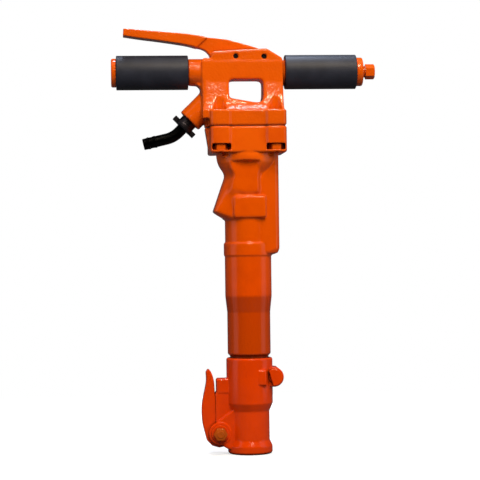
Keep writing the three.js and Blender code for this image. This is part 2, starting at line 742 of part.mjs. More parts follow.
// Exhaust hood, which swells out of the barrel down to its lip, and the duct inside it.
function hoodShapes() {
  const lip = boxOutline(-hood.out, 0, -hood.halfWidth, hood.halfWidth, hood.corner);
  const outside = blend(
    barrelCore(hood.underUp, hood.rootUp),
    raised(lip, hood.lipUp - hood.wall / 2, hood.lipUp + hood.wall / 2, castEdge),
  );
  const slope = (hood.rootUp - hood.lipUp) / (hood.out - cylinder.bodyRadius);
  const outX = hood.out - hood.wall * 1.2;
  const ductTop = hood.rootUp - slope * hood.wall * 1.5;
  const topX = cylinder.bodyRadius + hood.wall / 3;
  const bendX = cylinder.bodyRadius + hood.wall;
  const duct = rounded([
    [-bore.radius + overrun, ductTop, 0],
    [-topX, ductTop, 0],
    [-outX, hood.lipUp + hood.wall, 0],
    [-outX, hood.underUp - overrun * 2, 0],
    [-bendX, hood.underUp - overrun * 2, 0],
    [-bendX, hood.lipUp + hood.wall * 2, 0],
    [-bore.radius + overrun, hood.lipUp + hood.wall * 4, 0],
  ]);
  return [outside, across(duct, -hood.ductHalfWidth, hood.ductHalfWidth)];
}

// Cylinder: barrel, air passage rib, pad, exhaust hood and flange in one casting.
function cylinderPiece() {
  const padBack = -Math.sqrt(cylinder.bodyRadius ** 2 - pad.right ** 2) + castEdge * 2;
  const padFront = -cylinder.bodyRadius - pad.proud;
  const padOutline = boxOutline(-pad.left, pad.right, pad.foot, pad.foot + pad.length, castEdge * 2);
  const rootOutline = rounded([
    [-flange.halfWidth + castEdge * 2, jointHeight, 0],
    [-sideRoot.out, jointHeight, 0],
    [-flange.halfWidth - seat, skirtFoot + castEdge, 0],
    [-flange.halfWidth + castEdge * 2, skirtFoot + castEdge, 0],
  ]);
  const [hoodBody, hoodDuct] = hoodShapes();
  let body = join(
    turned(cylinderProfile()),
    raised(flangeOutline(), skirtFoot, jointHeight, castEdge),
    ribLobe(),
    across(padOutline, padFront, padBack, castEdge),
    across(rootOutline, -sideRoot.halfWidth, sideRoot.halfWidth, castEdge),
    hoodBody,
  );
  const portHeight = bandFoot + passage.portRise;
  const chestPort = chestFoot + valve.seatLength / 2;
  const spigotFoot = linerTop + gap;
  body = cut(
    body,
    rod(bore.guideRadius, bore.guideTop - spigotFoot + overrun * 2, at(0, 0, spigotFoot - overrun), up, wideFacets),
    rod(bore.radius, chestFoot - bore.guideTop + overrun, at(0, 0, bore.guideTop), up, wideFacets),
    rod(chest.radius, chest.length + overrun, at(0, 0, chestFoot), up, wideFacets),
    rod(passage.radius, jointHeight - portHeight + overrun, at(passage.out, 0, portHeight), up, fineFacets),
    rod(passage.radius, passage.out, at(0, 0, portHeight + passage.radius), right, fineFacets),
    rod(passage.radius, passage.out, at(0, 0, chestPort), right, fineFacets),
    rod(lockBolt.radius + gap, lockBoss.halfWidth * 4, at(lockBolt.out, -lockBoss.halfWidth * 2, lockHeight), back),
    hoodDuct,
  );
  atBolts((x, y, sideX, sideY) => {
    const wallX = flange.halfWidth - pocket.sideWall;
    const innerX = boltX - pocket.innerReach;
    const outerY = flange.halfDepth + overrun;
    const mouthCut = boxOutline(
      sideX > 0 ? innerX : -wallX,
      sideX > 0 ? wallX : -innerX,
      sideY > 0 ? boltY : -outerY,
      sideY > 0 ? outerY : -boltY,
    );
    body = cut(
      body,
      rod(pocket.radius, flangeFoot - skirtFoot + overrun, at(x, y, skirtFoot - overrun), up),
      raised(mouthCut, skirtFoot + pocket.sillLength, flangeFoot),
      rod(flangeBolt.radius + gap, flange.lowerLength + overrun * 2, at(x, y, flangeFoot - overrun), up),
    );
  });
  return body;
}

// Hex bolts and lock washers that hold the backhead on the cylinder.
function flangeBolts() {
  let count = 0;
  atBolts((x, y) => {
    count += 1;
    const washerFoot = flangeFoot - seat - flangeBolt.washer;
    const washer = ring(
      flangeBolt.radius + gap,
      flangeBolt.flats / 2,
      flangeBolt.washer,
      at(x, y, washerFoot),
      up,
      0,
      fineFacets,
    );
    piece(`flange_washer_${count}`, washer, finishes.paint);
    const shankFoot = washerFoot - flangeBolt.headLength / 2;
    const shank = rod(flangeBolt.radius, flangeBolt.reach, at(x, y, shankFoot), up);
    const boltHead = hexBar(flangeBolt.flats, flangeBolt.headLength, at(x, y, washerFoot - seat), down);
    piece(`flange_bolt_${count}`, join(shank, boltHead), finishes.paint);
  });
}

// Thin gasket between the two flanges.
function gasketPiece() {
  let sheet = raised(flangeOutline(castEdge), jointHeight + seat, backheadFoot - seat);
  sheet = cut(sheet, rod(chest.radius, chest.length, at(0, 0, jointHeight - overrun), up, wideFacets));
  atBolts((x, y) => {
    sheet = cut(sheet, rod(flangeBolt.radius + gap, chest.length, at(x, y, jointHeight - overrun), up));
  });
  return sheet;
}

// Stack of the air valve in the chest: seat, disc, cap, dowel and spring washer.
function airValve() {
  const chestFit = chest.radius - gap;
  const seatFoot = chestFoot + seat;
  const discFoot = seatFoot + valve.seatLength + seat;
  const capTop = discFoot + valve.capLength;
  const pocketTop = discFoot + valve.discLength + valve.discLift + gap;
  const pocketRadius = valve.discRadius + gap * 2;
  const dowelFoot = seatFoot + valve.seatLength / 2;
  const dowelHole = rod(dowel.radius + gap, dowel.length * 2, at(dowel.out, 0, dowelFoot - gap), up);
  const seatRing = ring(valve.portRadius, chestFit, valve.seatLength, at(0, 0, seatFoot), up, 0);
  piece("valve_seat", cut(seatRing, dowelHole), finishes.steel);
  const disc = ring(valve.portRadius / 2, valve.discRadius, valve.discLength, at(0, 0, discFoot), up, 0);
  piece("valve_disc", disc, finishes.steel);
  const capRing = turned(
    [
      [pocketRadius, discFoot],
      [chestFit, discFoot],
      [chestFit, capTop],
      [valve.portRadius, capTop],
      [valve.portRadius, pocketTop],
      [pocketRadius, pocketTop],
    ],
    at(0, 0, 0),
    up,
    middleFacets,
  );
  piece("valve_cap", cut(capRing, dowelHole), finishes.steel);
  piece("valve_dowel", rod(dowel.radius, dowel.length, at(dowel.out, 0, dowelFoot), up), finishes.steel);
  const inner = valveRing.radius - valveRing.width;
  const washer = turned(
    [
      [inner, valveRing.crown],
      [valveRing.radius, 0],
      [valveRing.radius, valveRing.length],
      [inner, valveRing.crown + valveRing.length],
    ],
    at(0, 0, capTop + seat),
    up,
    middleFacets,
  );
  piece("valve_spring_washer", washer, finishes.steel);
}

// Piston: hammer head in the bore and striking stem in the guide.
function pistonPiece() {
  const headFoot = bore.guideTop + piston.cushion;
  const headTop = headFoot + piston.headLength;
  const stemFit = bore.guideRadius - gap;
  const headFit = bore.radius - gap;
  const profile = [
    [0, piston.foot],
    [stemFit - piston.chamfer, piston.foot],
    [stemFit, piston.foot + piston.chamfer],
    [stemFit, headFoot],
    [headFit, headFoot],
    [headFit, headTop - turnedEdge],
    [headFit - turnedEdge, headTop],
    [0, headTop],
  ];
  return turned(profile, at(0, 0, 0), up, middleFacets);
}

// Front view of the legs and beam between the flange and the ears.
function legFront() {
  const foot = shelf - flange.upperLength / 2;
  return rounded([
    [-leg.left, foot, 0],
    [leg.right, foot, 0],
    [leg.right, beamTop, beam.corner],
    [-leg.left, beamTop, beam.corner],
  ]);
}

// End view of the legs and beam: they flare out to the front and back above the flange.
function legSide() {
  const foot = shelf - flange.upperLength / 2;
  const waist = leg.footHalfDepth - leg.flareIn;
  const shape = new THREE.Shape();
  shape.moveTo(-leg.footHalfDepth, foot);
  shape.lineTo(leg.footHalfDepth, foot);
  shape.lineTo(leg.footHalfDepth, shelf);
  shape.quadraticCurveTo(waist, shelf + leg.flareUp, beam.halfDepth, shelf + leg.flareLength);
  shape.lineTo(beam.halfDepth, beamTop - beam.corner);
  shape.quadraticCurveTo(beam.halfDepth, beamTop, beam.halfDepth - beam.corner, beamTop);
  shape.lineTo(beam.corner - beam.halfDepth, beamTop);
  shape.quadraticCurveTo(-beam.halfDepth, beamTop, -beam.halfDepth, beamTop - beam.corner);
  shape.lineTo(-beam.halfDepth, shelf + leg.flareLength);
  shape.quadraticCurveTo(-waist, shelf + leg.flareUp, -leg.footHalfDepth, shelf);
  return shape;
}

// Web that fills the corner between the left neck and the inlet boss with a rounded throat.
function notchOutline() {
  const spread = inlet.angle - Math.PI;
  const bossTopLine = inletCross.z - inletCross.x + inlet.bossRadius / Math.cos(spread);
  const centreX = neckFoot - bossTopLine - notchRadius / Math.tan(spread / 2);
  const outline = new THREE.Shape();
  outline.moveTo(centreX, neckFoot + castEdge);
  outline.lineTo(centreX, neckFoot);
  outline.absarc(centreX, neckFoot - notchRadius, notchRadius, Math.PI / 2, -spread, true);
  outline.lineTo(-throttle.out, inletCross.z);
  outline.lineTo(-throttle.out, neckFoot + castEdge);
  return outline;
}

// Outside of the backhead, before its openings are cut.
function backheadOutside() {
  const bossStart = inletCross.clone().addScaledVector(inletDirection, inlet.bossRoot);
  const bossLength = inletReach - inlet.bossRoot;
  const boss = turned(
    [
      [0, 0],
      [inlet.bossRadius, 0],
      [inlet.bossRadius, bossLength - turnedEdge],
      [inlet.bossRadius - turnedEdge, bossLength],
      [0, bossLength],
    ],
    bossStart,
    inletDirection,
    wideFacets,
  );
  const earOutline = rounded([
    [-ear.left, beamTop - beam.corner, 0],
    [-ear.topLeft, shelf + ear.leftRise, earCorner.left],
    [ear.topRight, shelf + ear.rise, earCorner.right],
    [ear.right, shelf + ear.heelRise, earCorner.heel],
    [ear.right, beamTop - beam.corner, 0],
  ]);
  const rootOutline = rounded([
    [-leg.left / 2, backheadFoot, 0],
    [-sideRoot.out, backheadFoot, 0],
    [-sideRoot.out, shelf - castEdge, castEdge * 2],
    [-leg.left / 2, shelf - castEdge, 0],
  ]);
  const web = inlet.bossRadius - castEdge;
  return join(
    across(legFront(), -flange.halfDepth, flange.halfDepth).intersect(sideways(legSide(), -leftEnd, rightEnd)),
    raised(flangeOutline(), backheadFoot, shelf, castEdge),
    rod(handle.neckRadius, handle.leftNeck - leg.left / 2, at(-handle.leftNeck, 0, handleHeight), right, wideFacets),
    rod(handle.neckRadius, handle.rightNeck - windowCut.right, at(windowCut.right, 0, handleHeight), right, wideFacets),
    rod(handle.armRadius, leftEnd - leg.left, at(-leftEnd, 0, handleHeight), right, middleFacets),
    rod(handle.armRadius, rightEnd - leg.right, at(leg.right, 0, handleHeight), right, middleFacets),
    boss,
    across(notchOutline(), -web, web),
    across(earOutline, -ear.halfDepth, ear.halfDepth, castEdge),
    across(rootOutline, -sideRoot.halfWidth, sideRoot.halfWidth, castEdge),
  );
}

// Backhead: arms, beam, ears, legs, inlet boss and flange in one casting.
function backheadPiece() {
  const depth = flange.halfDepth + overrun;
  const windowOutline = rounded([
    [-windowCut.left, handleHeight - windowCut.topDrop, windowCorner.top],
    [windowCut.right, handleHeight - windowCut.topDrop, windowCorner.top],
    [windowCut.right, shelf + windowCut.rightFoot, windowCorner.right],
    [-windowCut.left, shelf + windowCut.leftFoot, windowCorner.left],
  ]);
  const slotTop = slotFloor + lever.height;
  const slotOutline = rounded([
    [-leverSlot.left, slotTop, 0],
    [-leverSlot.left, shelf + leverSlot.leftRise, 0],
    [-leverSlot.floorLeft, slotFloor, castEdge],
    [leverSlot.floorRight, slotFloor, castEdge],
    [leverSlot.slopeRight, slotFloor + leverSlot.slopeUp, castEdge],
    [ear.right + overrun, slotFloor + leverSlot.endUp, 0],
    [ear.right + overrun, slotTop, 0],
  ]);
  const pinHole = lever.pinRadius + gap;
  const ductHeight = shelf + duct.rise - castEdge / 2;
  const legFoot = backheadFoot + duct.footUp;
  const roofTop = shelf + throttle.roofRise;
  const inward = inletDirection.clone().negate();
  let body = cut(
    backheadOutside(),
    across(windowOutline, -depth, depth),
    across(slotOutline, -ear.gapHalf, ear.gapHalf),
    rod(pinHole, depth * 2, at(lever.pivotX, -depth, pivotHeight), back),
    rod(pinHole, depth * 2, at(-lever.stopX, -depth, stopHeight), back),
    rod(
      throttle.boreRadius,
      flange.upperLength + throttle.roofRise + overrun,
      at(-throttle.out, 0, backheadFoot - overrun),
      up,
      middleFacets,
    ),
    rod(throttle.stemRadius + gap, slotFloor - roofTop + overrun * 2, at(-throttle.out, 0, roofTop - overrun), up),
    rod(duct.radius, throttle.out + duct.legOut, at(-throttle.out, 0, ductHeight), right),
    rod(duct.legRadius, ductHeight - legFoot, at(duct.legOut, 0, legFoot), up),
    rod(duct.radius, duct.legOut, at(0, 0, legFoot + castEdge), right),
    rod(duct.pocketRadius, duct.pocketDepth + overrun, at(0, 0, backheadFoot - overrun), up, middleFacets),
    rod(inlet.passageRadius, inletReach + overrun, at(...inletFace.clone().addScaledVector(inletDirection, overrun)), inward),
    rod(
      inlet.threadRadius,
      threadDepth + overrun,
      at(...inletFace.clone().addScaledVector(inletDirection, overrun)),
      inward,
      middleFacets,
    ),
    rod(handle.armBore, grip.length + overrun, at(-leftEnd - overrun, 0, handleHeight), right, middleFacets),
    rod(
      handle.armBore,
      grip.length - handle.plugBoreLength - overrun,
      at(handle.rightNeck + overrun, 0, handleHeight),
      right,
    ),
    rod(handle.plugBore, handle.plugBoreLength + overrun * 2, at(rightEnd + overrun, 0, handleHeight), left),
  );
  atBolts((x, y) => {
    const holeLength = flangeBolt.reach - flange.lowerLength + overrun;
    body = cut(
      body,
      rod(spotFace.radius, spotFace.length, at(x, y, shelf), up),
      rod(flangeBolt.radius + gap, holeLength, at(x, y, backheadFoot - overrun), up),
    );
  });
  return body;
}

// Rubber sleeves, end cap, end collar and oil plug of the handle.
function handleParts() {
  const sleeve = (x) =>
    ring(handle.armRadius + gap, grip.radius, grip.length, at(x, 0, handleHeight), right, grip.edge, wideFacets);
  piece("grip_left", sleeve(-leftEnd), finishes.rubber);
  piece("grip_right", sleeve(handle.rightNeck + seat), finishes.rubber);
  const spigot = handle.armBore - gap;
  const capPiece = turned(
    [
      [0, -cap.spigotLength],
      [spigot, -cap.spigotLength],
      [spigot, 0],
      [cap.radius, 0],
      [cap.radius, cap.length - cap.edge],
      [cap.radius - cap.edge / 3, cap.length - cap.edge / 3],
      [cap.radius - cap.edge, cap.length],
      [0, cap.length],
    ],
    at(-leftEnd - seat, 0, handleHeight),
    left,
  );
  piece("handle_cap", capPiece, finishes.paint);
  const collarFoot = rightEnd + seat * 2;
  const collarPiece = ring(
    oilPlug.neckRadius + gap,
    cap.radius,
    collar.length,
    at(collarFoot, 0, handleHeight),
    right,
    collar.edge / 2,
    wideFacets,
  );
  piece("handle_collar", collarPiece, finishes.paint);
  const plugStart = rightEnd - oilPlug.threadLength;
  const headStart = collarFoot + collar.length + oilPlug.neckLength;
  const plugNeck = rod(oilPlug.neckRadius, headStart + overrun - plugStart, at(plugStart, 0, handleHeight), right);
  const plugHead = hexBar(oilPlug.flats, oilPlug.headLength, at(headStart, 0, handleHeight), right, oilPlug.turn);
  piece("oil_plug", join(plugNeck, plugHead), finishes.paint);
}

// Lever: a broad paddle over the grip and a hub between the ears.
function leverPiece() {
  const place = ([x, z]) => new THREE.Vector2(x * lever.reach, slotFloor + z * lever.height);
  const through = (shape, shares) => {
    const points = shares.map(place);
    shape.lineTo(points[0].x, points[0].y);
    shape.splineThru(points.slice(1));
  };
  const paddleShape = new THREE.Shape();
  const tip = place(paddleTopShares[0]);
  paddleShape.moveTo(tip.x, tip.y);
  paddleShape.splineThru(paddleTopShares.slice(1).map(place));
  through(paddleShape, paddleFootShares);
  const hubShape = new THREE.Shape();
  const hubTop = place(hubTopShares[0]);
  hubShape.moveTo(hubTop.x, hubTop.y);
  hubShape.splineThru(hubTopShares.slice(1).map(place));
  hubShape.splineThru(hubHeelShares.slice(1).map(place));
  for (const share of hubFootShares) hubShape.lineTo(place(share).x, place(share).y);
  hubShape.splineThru(hubThroatShares.slice(1).map(place));
  const room = lever.pinRadius + gap;
  const stopRun = lever.pivotX + lever.stopX;
  const lift = stopRun * Math.sin(lever.travel);
  const stopShape = new THREE.Shape();
  stopShape.absarc(-lever.stopX, stopHeight, room, Math.PI, 2 * Math.PI);
  stopShape.absarc(-lever.stopX + stopRun * (1 - Math.cos(lever.travel)), stopHeight + lift, room, 0, Math.PI);
  const depth = lever.paddleHalfWidth;
  return cut(
    join(
      across(paddleShape, -lever.paddleHalfWidth, lever.paddleHalfWidth, lever.edge),
      across(hubShape, -lever.hubHalfWidth, lever.hubHalfWidth, lever.edge / 2),
    ),
    rod(room, depth * 2, at(lever.pivotX, -depth, pivotHeight), back),
    across(stopShape, -depth, depth),
  );
}

// Pins of the lever, through both ears.
function leverPins() {
  const length = ear.halfDepth * 2;
  const pinAt = (x, z) => rod(lever.pinRadius, length, at(x, -ear.halfDepth, z), back);
  piece("lever_pin", pinAt(lever.pivotX, pivotHeight), finishes.steel);
  piece("stop_pin", pinAt(-lever.stopX, stopHeight), finishes.steel);
}

// Throttle valve with its seat, spring and plug in the left leg.
function throttleParts() {
  const seatFoot = shelf + throttle.seatRise;
  const headTop = seatFoot - seat;
  const headFoot = headTop - throttle.headLength;
  const stemLength = shelf + throttle.stemRise - headTop;
  const valveBody = turned(
    [
      [0, -throttle.headLength],
      [throttle.headRadius, -throttle.headLength],
      [throttle.headRadius, 0],
      [throttle.stemRadius, 0],
      [throttle.stemRadius, stemLength],
      [0, stemLength],
    ],
    at(-throttle.out, 0, headTop),
    up,
    middleFacets,
  );
  piece("throttle_valve", valveBody, finishes.steel);
  const boreFit = throttle.boreRadius - gap;
  const seatRing = ring(throttle.seatBore, boreFit, throttle.seatLength, at(-throttle.out, 0, seatFoot), up, 0);
  piece("throttle_seat", seatRing, finishes.steel);
  const plugFoot = backheadFoot + seat;
  const plugBody = ring(0, boreFit, throttle.plugLength, at(-throttle.out, 0, plugFoot), up, turnedEdge, fineFacets);
  const plugHex = hexBar(throttle.plugHexFlats, throttle.plugLength, at(-throttle.out, 0, plugFoot - throttle.plugLength / 2), up);
  piece("throttle_plug", cut(plugBody, plugHex), finishes.steel);
  const springFoot = plugFoot + throttle.plugLength + seat;
  const spring = coil(throttleSpring, -throttle.out, springFoot, headFoot - seat - springFoot);
  piece("throttle_spring", spring, finishes.steel);
}

// Round bar swept along a path.
function swept(radius, path, facets = fineFacets) {
  const outline = new THREE.Shape().absarc(0, 0, radius, 0, 2 * Math.PI);
  const settings = { steps: sweepSteps, curveSegments: facets / 2, extrudePath: path, bevelEnabled: false };
  return solid(new THREE.ExtrudeGeometry(outline, settings));
}

// Middle line of the swivel stem, made longer at both ends by a margin.
function stemPath(margin) {
  const tailAngle = inlet.angle - stem.bend;
  const tailDirection = at(Math.cos(tailAngle), 0, Math.sin(tailAngle));
  const along = (distance) => inletFace.clone().addScaledVector(inletDirection, distance);
  const reach = stem.bendRadius * Math.tan(stem.bend / 2);
  const bendStart = along(stem.straight);
  const corner = along(stem.straight + reach);
  const bendEnd = corner.clone().addScaledVector(tailDirection, reach);
  const end = bendEnd.clone().addScaledVector(tailDirection, stem.tail + margin);
  const path = new THREE.CurvePath();
  path.add(new THREE.LineCurve3(along(-nut.threadLength - seat - stem.flangeLength / 2 - margin), bendStart));
  path.add(new THREE.QuadraticBezierCurve3(bendStart, corner, bendEnd));
  path.add(new THREE.LineCurve3(bendEnd, end));
  return { path, end, tailDirection };
}

// Swivel: hose stem, wing nut, seal and inlet screen.
function swivelParts() {
  const along = (distance) => inletFace.clone().addScaledVector(inletDirection, distance);
  const { path, end, tailDirection } = stemPath(0);
  const flangeEnd = -nut.threadLength - seat;
  const collarRing = rod(stem.flangeRadius, stem.flangeLength, along(flangeEnd - stem.flangeLength), inletDirection, middleFacets);
  let body = join(swept(stem.radius, path), collarRing);
  for (let i = 1; i <= stem.barbs; i += 1) {
    const start = end.clone().addScaledVector(tailDirection, -stem.barbLength * 2 * i);
    const barb = turned(
      [
        [0, 0],
        [stem.barbRadius, 0],
        [stem.barbRadius, stem.barbLength / 4],
        [stem.radius - gap, stem.barbLength],
        [0, stem.barbLength],
      ],
      start,
      tailDirection,
      fineFacets,
    );
    body = join(body, barb);
  }
  const boreLine = stemPath(stem.flangeLength + overrun).path;
  piece("swivel_stem", cut(body, swept(stem.bore, boreLine)), finishes.blackened);
  const boreRadius = stem.radius + gap;
  const barStart = nut.neckLength;
  const neckLine = nut.threadLength + nut.neckLength + nut.barLength / 2;
  const bar = new THREE.BoxGeometry(nut.barHalf * 2, nut.barHalfWidth * 2, nut.barLength);
  bar.translate(0, 0, nut.barLength / 2);
  const hub = ring(0, nut.hubRadius, nut.barLength, along(barStart), inletDirection);
  const wings = solid(aimed(bar, along(barStart), inletDirection));
  const neck = rod(inlet.threadRadius - gap, neckLine, along(-nut.threadLength), inletDirection, middleFacets);
  const whole = join(neck, hub, wings);
  const hole = rod(boreRadius, neckLine * 2, along(-neckLine), inletDirection, middleFacets);
  piece("swivel_nut", cut(whole, hole), finishes.zinc);
  const sealStart = flangeEnd - stem.flangeLength - seat - swivelSeal.length;
  const sealFit = inlet.threadRadius - gap;
  const sealRing = ring(swivelSeal.boreRadius, sealFit, swivelSeal.length, along(sealStart), inletDirection, 0);
  piece("swivel_seal", sealRing, finishes.seal);
  const rimStart = sealStart - seat - screen.rimLength;
  const thimble = turned(
    [
      [0, -screen.length],
      [screen.radius, -screen.length],
      [screen.radius, 0],
      [sealFit, 0],
      [sealFit, screen.rimLength],
      [screen.radius - screen.wall, screen.rimLength],
      [screen.radius - screen.wall, screen.wall - screen.length],
      [0, screen.wall - screen.length],
    ],
    along(rimStart),
    inletDirection,
    fineFacets,
  );
  let pierced = thimble;
  for (const share of [1, 2]) {
    const middle = along(rimStart - (screen.length * share) / 3);
    const start = middle.clone().addScaledVector(back, -screen.radius * 2);
    pierced = cut(pierced, rod(screen.holeRadius, screen.radius * 4, start, back, turnSteps));
  }
  piece("inlet_screen", pierced, finishes.steel);
}

piece("front_head", frontHead(), finishes.paint);
piece("chuck_liner", chuckLiner(), finishes.steel);
piece("latch", latchPiece(), finishes.paint);
latchFasteners();
latchPlunger();
lockFasteners();
piece("cylinder", cylinderPiece(), finishes.paint);
flangeBolts();
piece("flange_gasket", gasketPiece(), finishes.seal);
airValve();
piece("piston", pistonPiece(), finishes.steel);
piece("backhead", backheadPiece(), finishes.paint);
handleParts();
piece("throttle_lever", leverPiece(), finishes.paint);
leverPins();
throttleParts();
swivelParts();

export default part;
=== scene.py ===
"""Looks of a two-handed pneumatic breaker: painted castings, rubber grips, steel fittings and a studio.

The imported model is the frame. Sizes below are in millimetres, in that frame, unless they say metres, and are
turned to metres where a mesh is made.
"""

import logging
import math
from collections.abc import Sequence
from dataclasses import dataclass
from enum import Enum
from typing import Self

import bmesh
import bpy
import numpy as np
from bpy.types import Material, Mesh, Node, Object, World
from mathutils import Matrix, Quaternion, Vector


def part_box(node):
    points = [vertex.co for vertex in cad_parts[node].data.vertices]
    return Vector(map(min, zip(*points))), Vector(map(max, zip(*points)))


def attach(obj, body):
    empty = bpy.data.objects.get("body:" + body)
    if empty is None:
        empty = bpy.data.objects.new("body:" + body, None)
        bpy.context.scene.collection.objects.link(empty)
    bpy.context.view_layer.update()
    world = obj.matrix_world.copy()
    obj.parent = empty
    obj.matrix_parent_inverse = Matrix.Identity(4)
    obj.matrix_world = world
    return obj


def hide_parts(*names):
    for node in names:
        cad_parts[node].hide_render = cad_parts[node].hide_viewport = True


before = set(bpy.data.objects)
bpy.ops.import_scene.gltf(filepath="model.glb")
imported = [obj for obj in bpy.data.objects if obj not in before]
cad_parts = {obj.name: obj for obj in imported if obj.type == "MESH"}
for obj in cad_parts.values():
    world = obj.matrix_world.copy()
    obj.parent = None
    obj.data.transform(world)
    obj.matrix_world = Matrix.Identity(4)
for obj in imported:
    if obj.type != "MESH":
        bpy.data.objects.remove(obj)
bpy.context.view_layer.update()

Point = tuple[float, float, float]
Row = tuple[float, float]
Range = tuple[float, float, float, float]
Output = tuple[Node, str | int]

MM = 0.001
AROUND = 96
TURN = np.arange(AROUND) * 2 * math.pi / AROUND
# Radius that stands for a place on the axis, and distance in metres within which two points are one.
ON_AXIS, WELD = 1e-5, 1e-7
# Angle between faces that leaves a sharp edge, steps of a rounded corner, and the range of most noise.
SHARP, EASE_STEPS, NOISE_RANGE = math.radians(32.0), 5, (0.3, 0.7)
# Share of a hexagon's width that its turned face has, slope of its turned corners, and corners of a washer.
HEX_FACE, HEX_SLOPE, WASHER_EDGES = 0.96, math.tan(math.radians(30)), (0.4, 0.7)
# Rings to a turn of a thread, its depth as a share of the pitch, and the slope of its end.
THREAD_STEPS, THREAD_DEPTH, THREAD_CHAMFER = 8, 0.54, 0.8
# Gap between pieces that bear on each other, and play of a bolt in its hole.
SEAT_GAP, HOLE_PLAY = 0.06, 0.3
ORIGIN, ACROSS, BACKWARD, FORWARD, UP = (0, 0, 0), (1, 0, 0), (0, 1, 0), (0, -1, 0), (0, 0, 1)
# Axes that two castings or fittings share.
LATCH_AXIS, LOCK_AXIS = (-43.0, 0.0, 29.6), (33.0, 0.0, 107.0)
HANDLE_AXIS, INLET_FACE = (0.0, 0.0, 532.8), (-79.5, 0.0, 465.0)
WHITE, WARM, COOL = "#FFFFFF", "#FFEBCC", "#D6E4FF"
log = logging.getLogger("breaker")


class Body(Enum):
    """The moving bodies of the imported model."""

    TOOL = "tool"
    LEVER = "throttle_lever"
    LATCH = "latch"
    STEM = "swivel_stem"
    NUT = "swivel_nut"


class Slot(Enum):
    """The record's material slots that new pieces are given. Their finish comes from the material passed with
    them.
    """

    ORANGE = "orange_paint"
    HEAD = "head_paint"
    GRIP = "grip_rubber"
    BLACK = "black_steel"
    ZINC = "zinc_alloy"
    BARE = "bare_steel"


# ---- colours and nodes


def linear(code: str) -> Range:
    """Turns an sRGB hex colour to the linear colour that shaders take.

    Args:
        code: Colour as "#RRGGBB".

    Returns:
        Linear red, green and blue, with an alpha of 1.
    """
    values = [int(code[i : i + 2], 16) / 255 for i in (1, 3, 5)]
    red, green, blue = (v / 12.92 if v <= 0.04045 else ((v + 0.055) / 1.055) ** 2.4 for v in values)
    return red, green, blue, 1.0


class Nodes:
    """The nodes of one material or world."""

    def __init__(self, owner: Material | World, space: str = "Object") -> None:
        """Starts with only the place.

        Args:
            owner: Material or world, whose other nodes are removed.
            space: Coordinates that the place is in.
        """
        owner.use_nodes = True
        self.tree = owner.node_tree
        self.tree.nodes.clear()
        self.place: Output = (self.add("TexCoord", {}), space)

    def add(self, kind: str, values: dict[str | int, object]) -> Node:
        """Adds a node.

        Args:
            kind: Blender's name of its type, without "ShaderNode".
            values: Its properties and inputs, by name or number. An input takes a value, a hex colour or the
                output of another node. "stops" holds the places and colours of a ramp.

        Returns:
            The new node.
        """
        node = self.tree.nodes.new("ShaderNode" + kind)
        for key, value in values.items():
            if key == "stops":
                ramp = node.color_ramp.elements
                while len(ramp) < len(value):
                    ramp.new(1.0)
                for stop, (place, code) in zip(ramp, value):
                    stop.position, stop.color = place, linear(code)
            elif isinstance(key, str) and key not in node.inputs:
                setattr(node, key, value)
            elif isinstance(value, tuple) and isinstance(value[0], Node):
                self.tree.links.new(value[0].outputs[value[1]], node.inputs[key])
            else:
                node.inputs[key].default_value = linear(value) if isinstance(value, str) else value
        return node

    def noise(self, width: float, detail: float = 2.0, roughness: float = 0.5) -> Output:
        """Adds noise whose spots have a given width."""
        values = {"Scale": 1 / (width * MM), "Detail": detail, "Roughness": roughness}
        return self.add("TexNoise", {"Vector": self.place, **values}), "Fac"

    def remap(self, value: Output, start: float, end: float, low: float, high: float) -> Output:
        """Turns the range from start to end into the one from low to high, and holds it beyond its ends."""
        values = {"From Min": start, "From Max": end, "To Min": low, "To Max": high}
        return self.add("MapRange", {"Value": value, **values}), "Result"

    def ramp(self, value: Output, *stops: tuple[float, str]) -> Output:
        """Turns a value to a colour, by places from 0 to 1 and the colours there."""
        return self.add("ValToRGB", {"stops": stops, "Fac": value}), "Color"

    def mix(self, share: Output, first: Output | str, second: str) -> Output:
        """Mixes two colours. The share is that of the second."""
        return self.add("Mix", {"data_type": "RGBA", 0: share, 6: first, 7: second}), 2

    def bump(self, height: Output, depth: float, below: Output | None = None) -> Output:
        """Makes the surface uneven by a pattern of some depth, on top of a coarser unevenness."""
        values = {"Height": height, "Distance": depth * MM}
        return self.add("Bump", values | ({"Normal": below} if below else {})), "Normal"

    def shade(self, values: dict[str, float | Output]) -> None:
        """Ends a material with one surface shader."""
        self.add("OutputMaterial", {"Surface": (self.add("BsdfPrincipled", values), 0)})

    def split(self, light: Node, seen: Node, kind: str) -> None:
        """Ends a tree with one shader for the light that it gives, and another for what the camera sees."""
        rays = (self.add("LightPath", {}), "Is Camera Ray")
        self.add(kind, {"Surface": (self.add("MixShader", {0: rays, 1: (light, 0), 2: (seen, 0)}), 0)})


# ---- finishes


@dataclass(frozen=True)
class Finish:
    """A finish that the other ones start from.

    Attributes:
        name: Name of its material.
    """

    name: str

    def made(self) -> Material:
        """Makes the material.

        Returns:
            The new material.
        """
        material = bpy.data.materials.new(self.name)
        self.dress(Nodes(material))
        return material


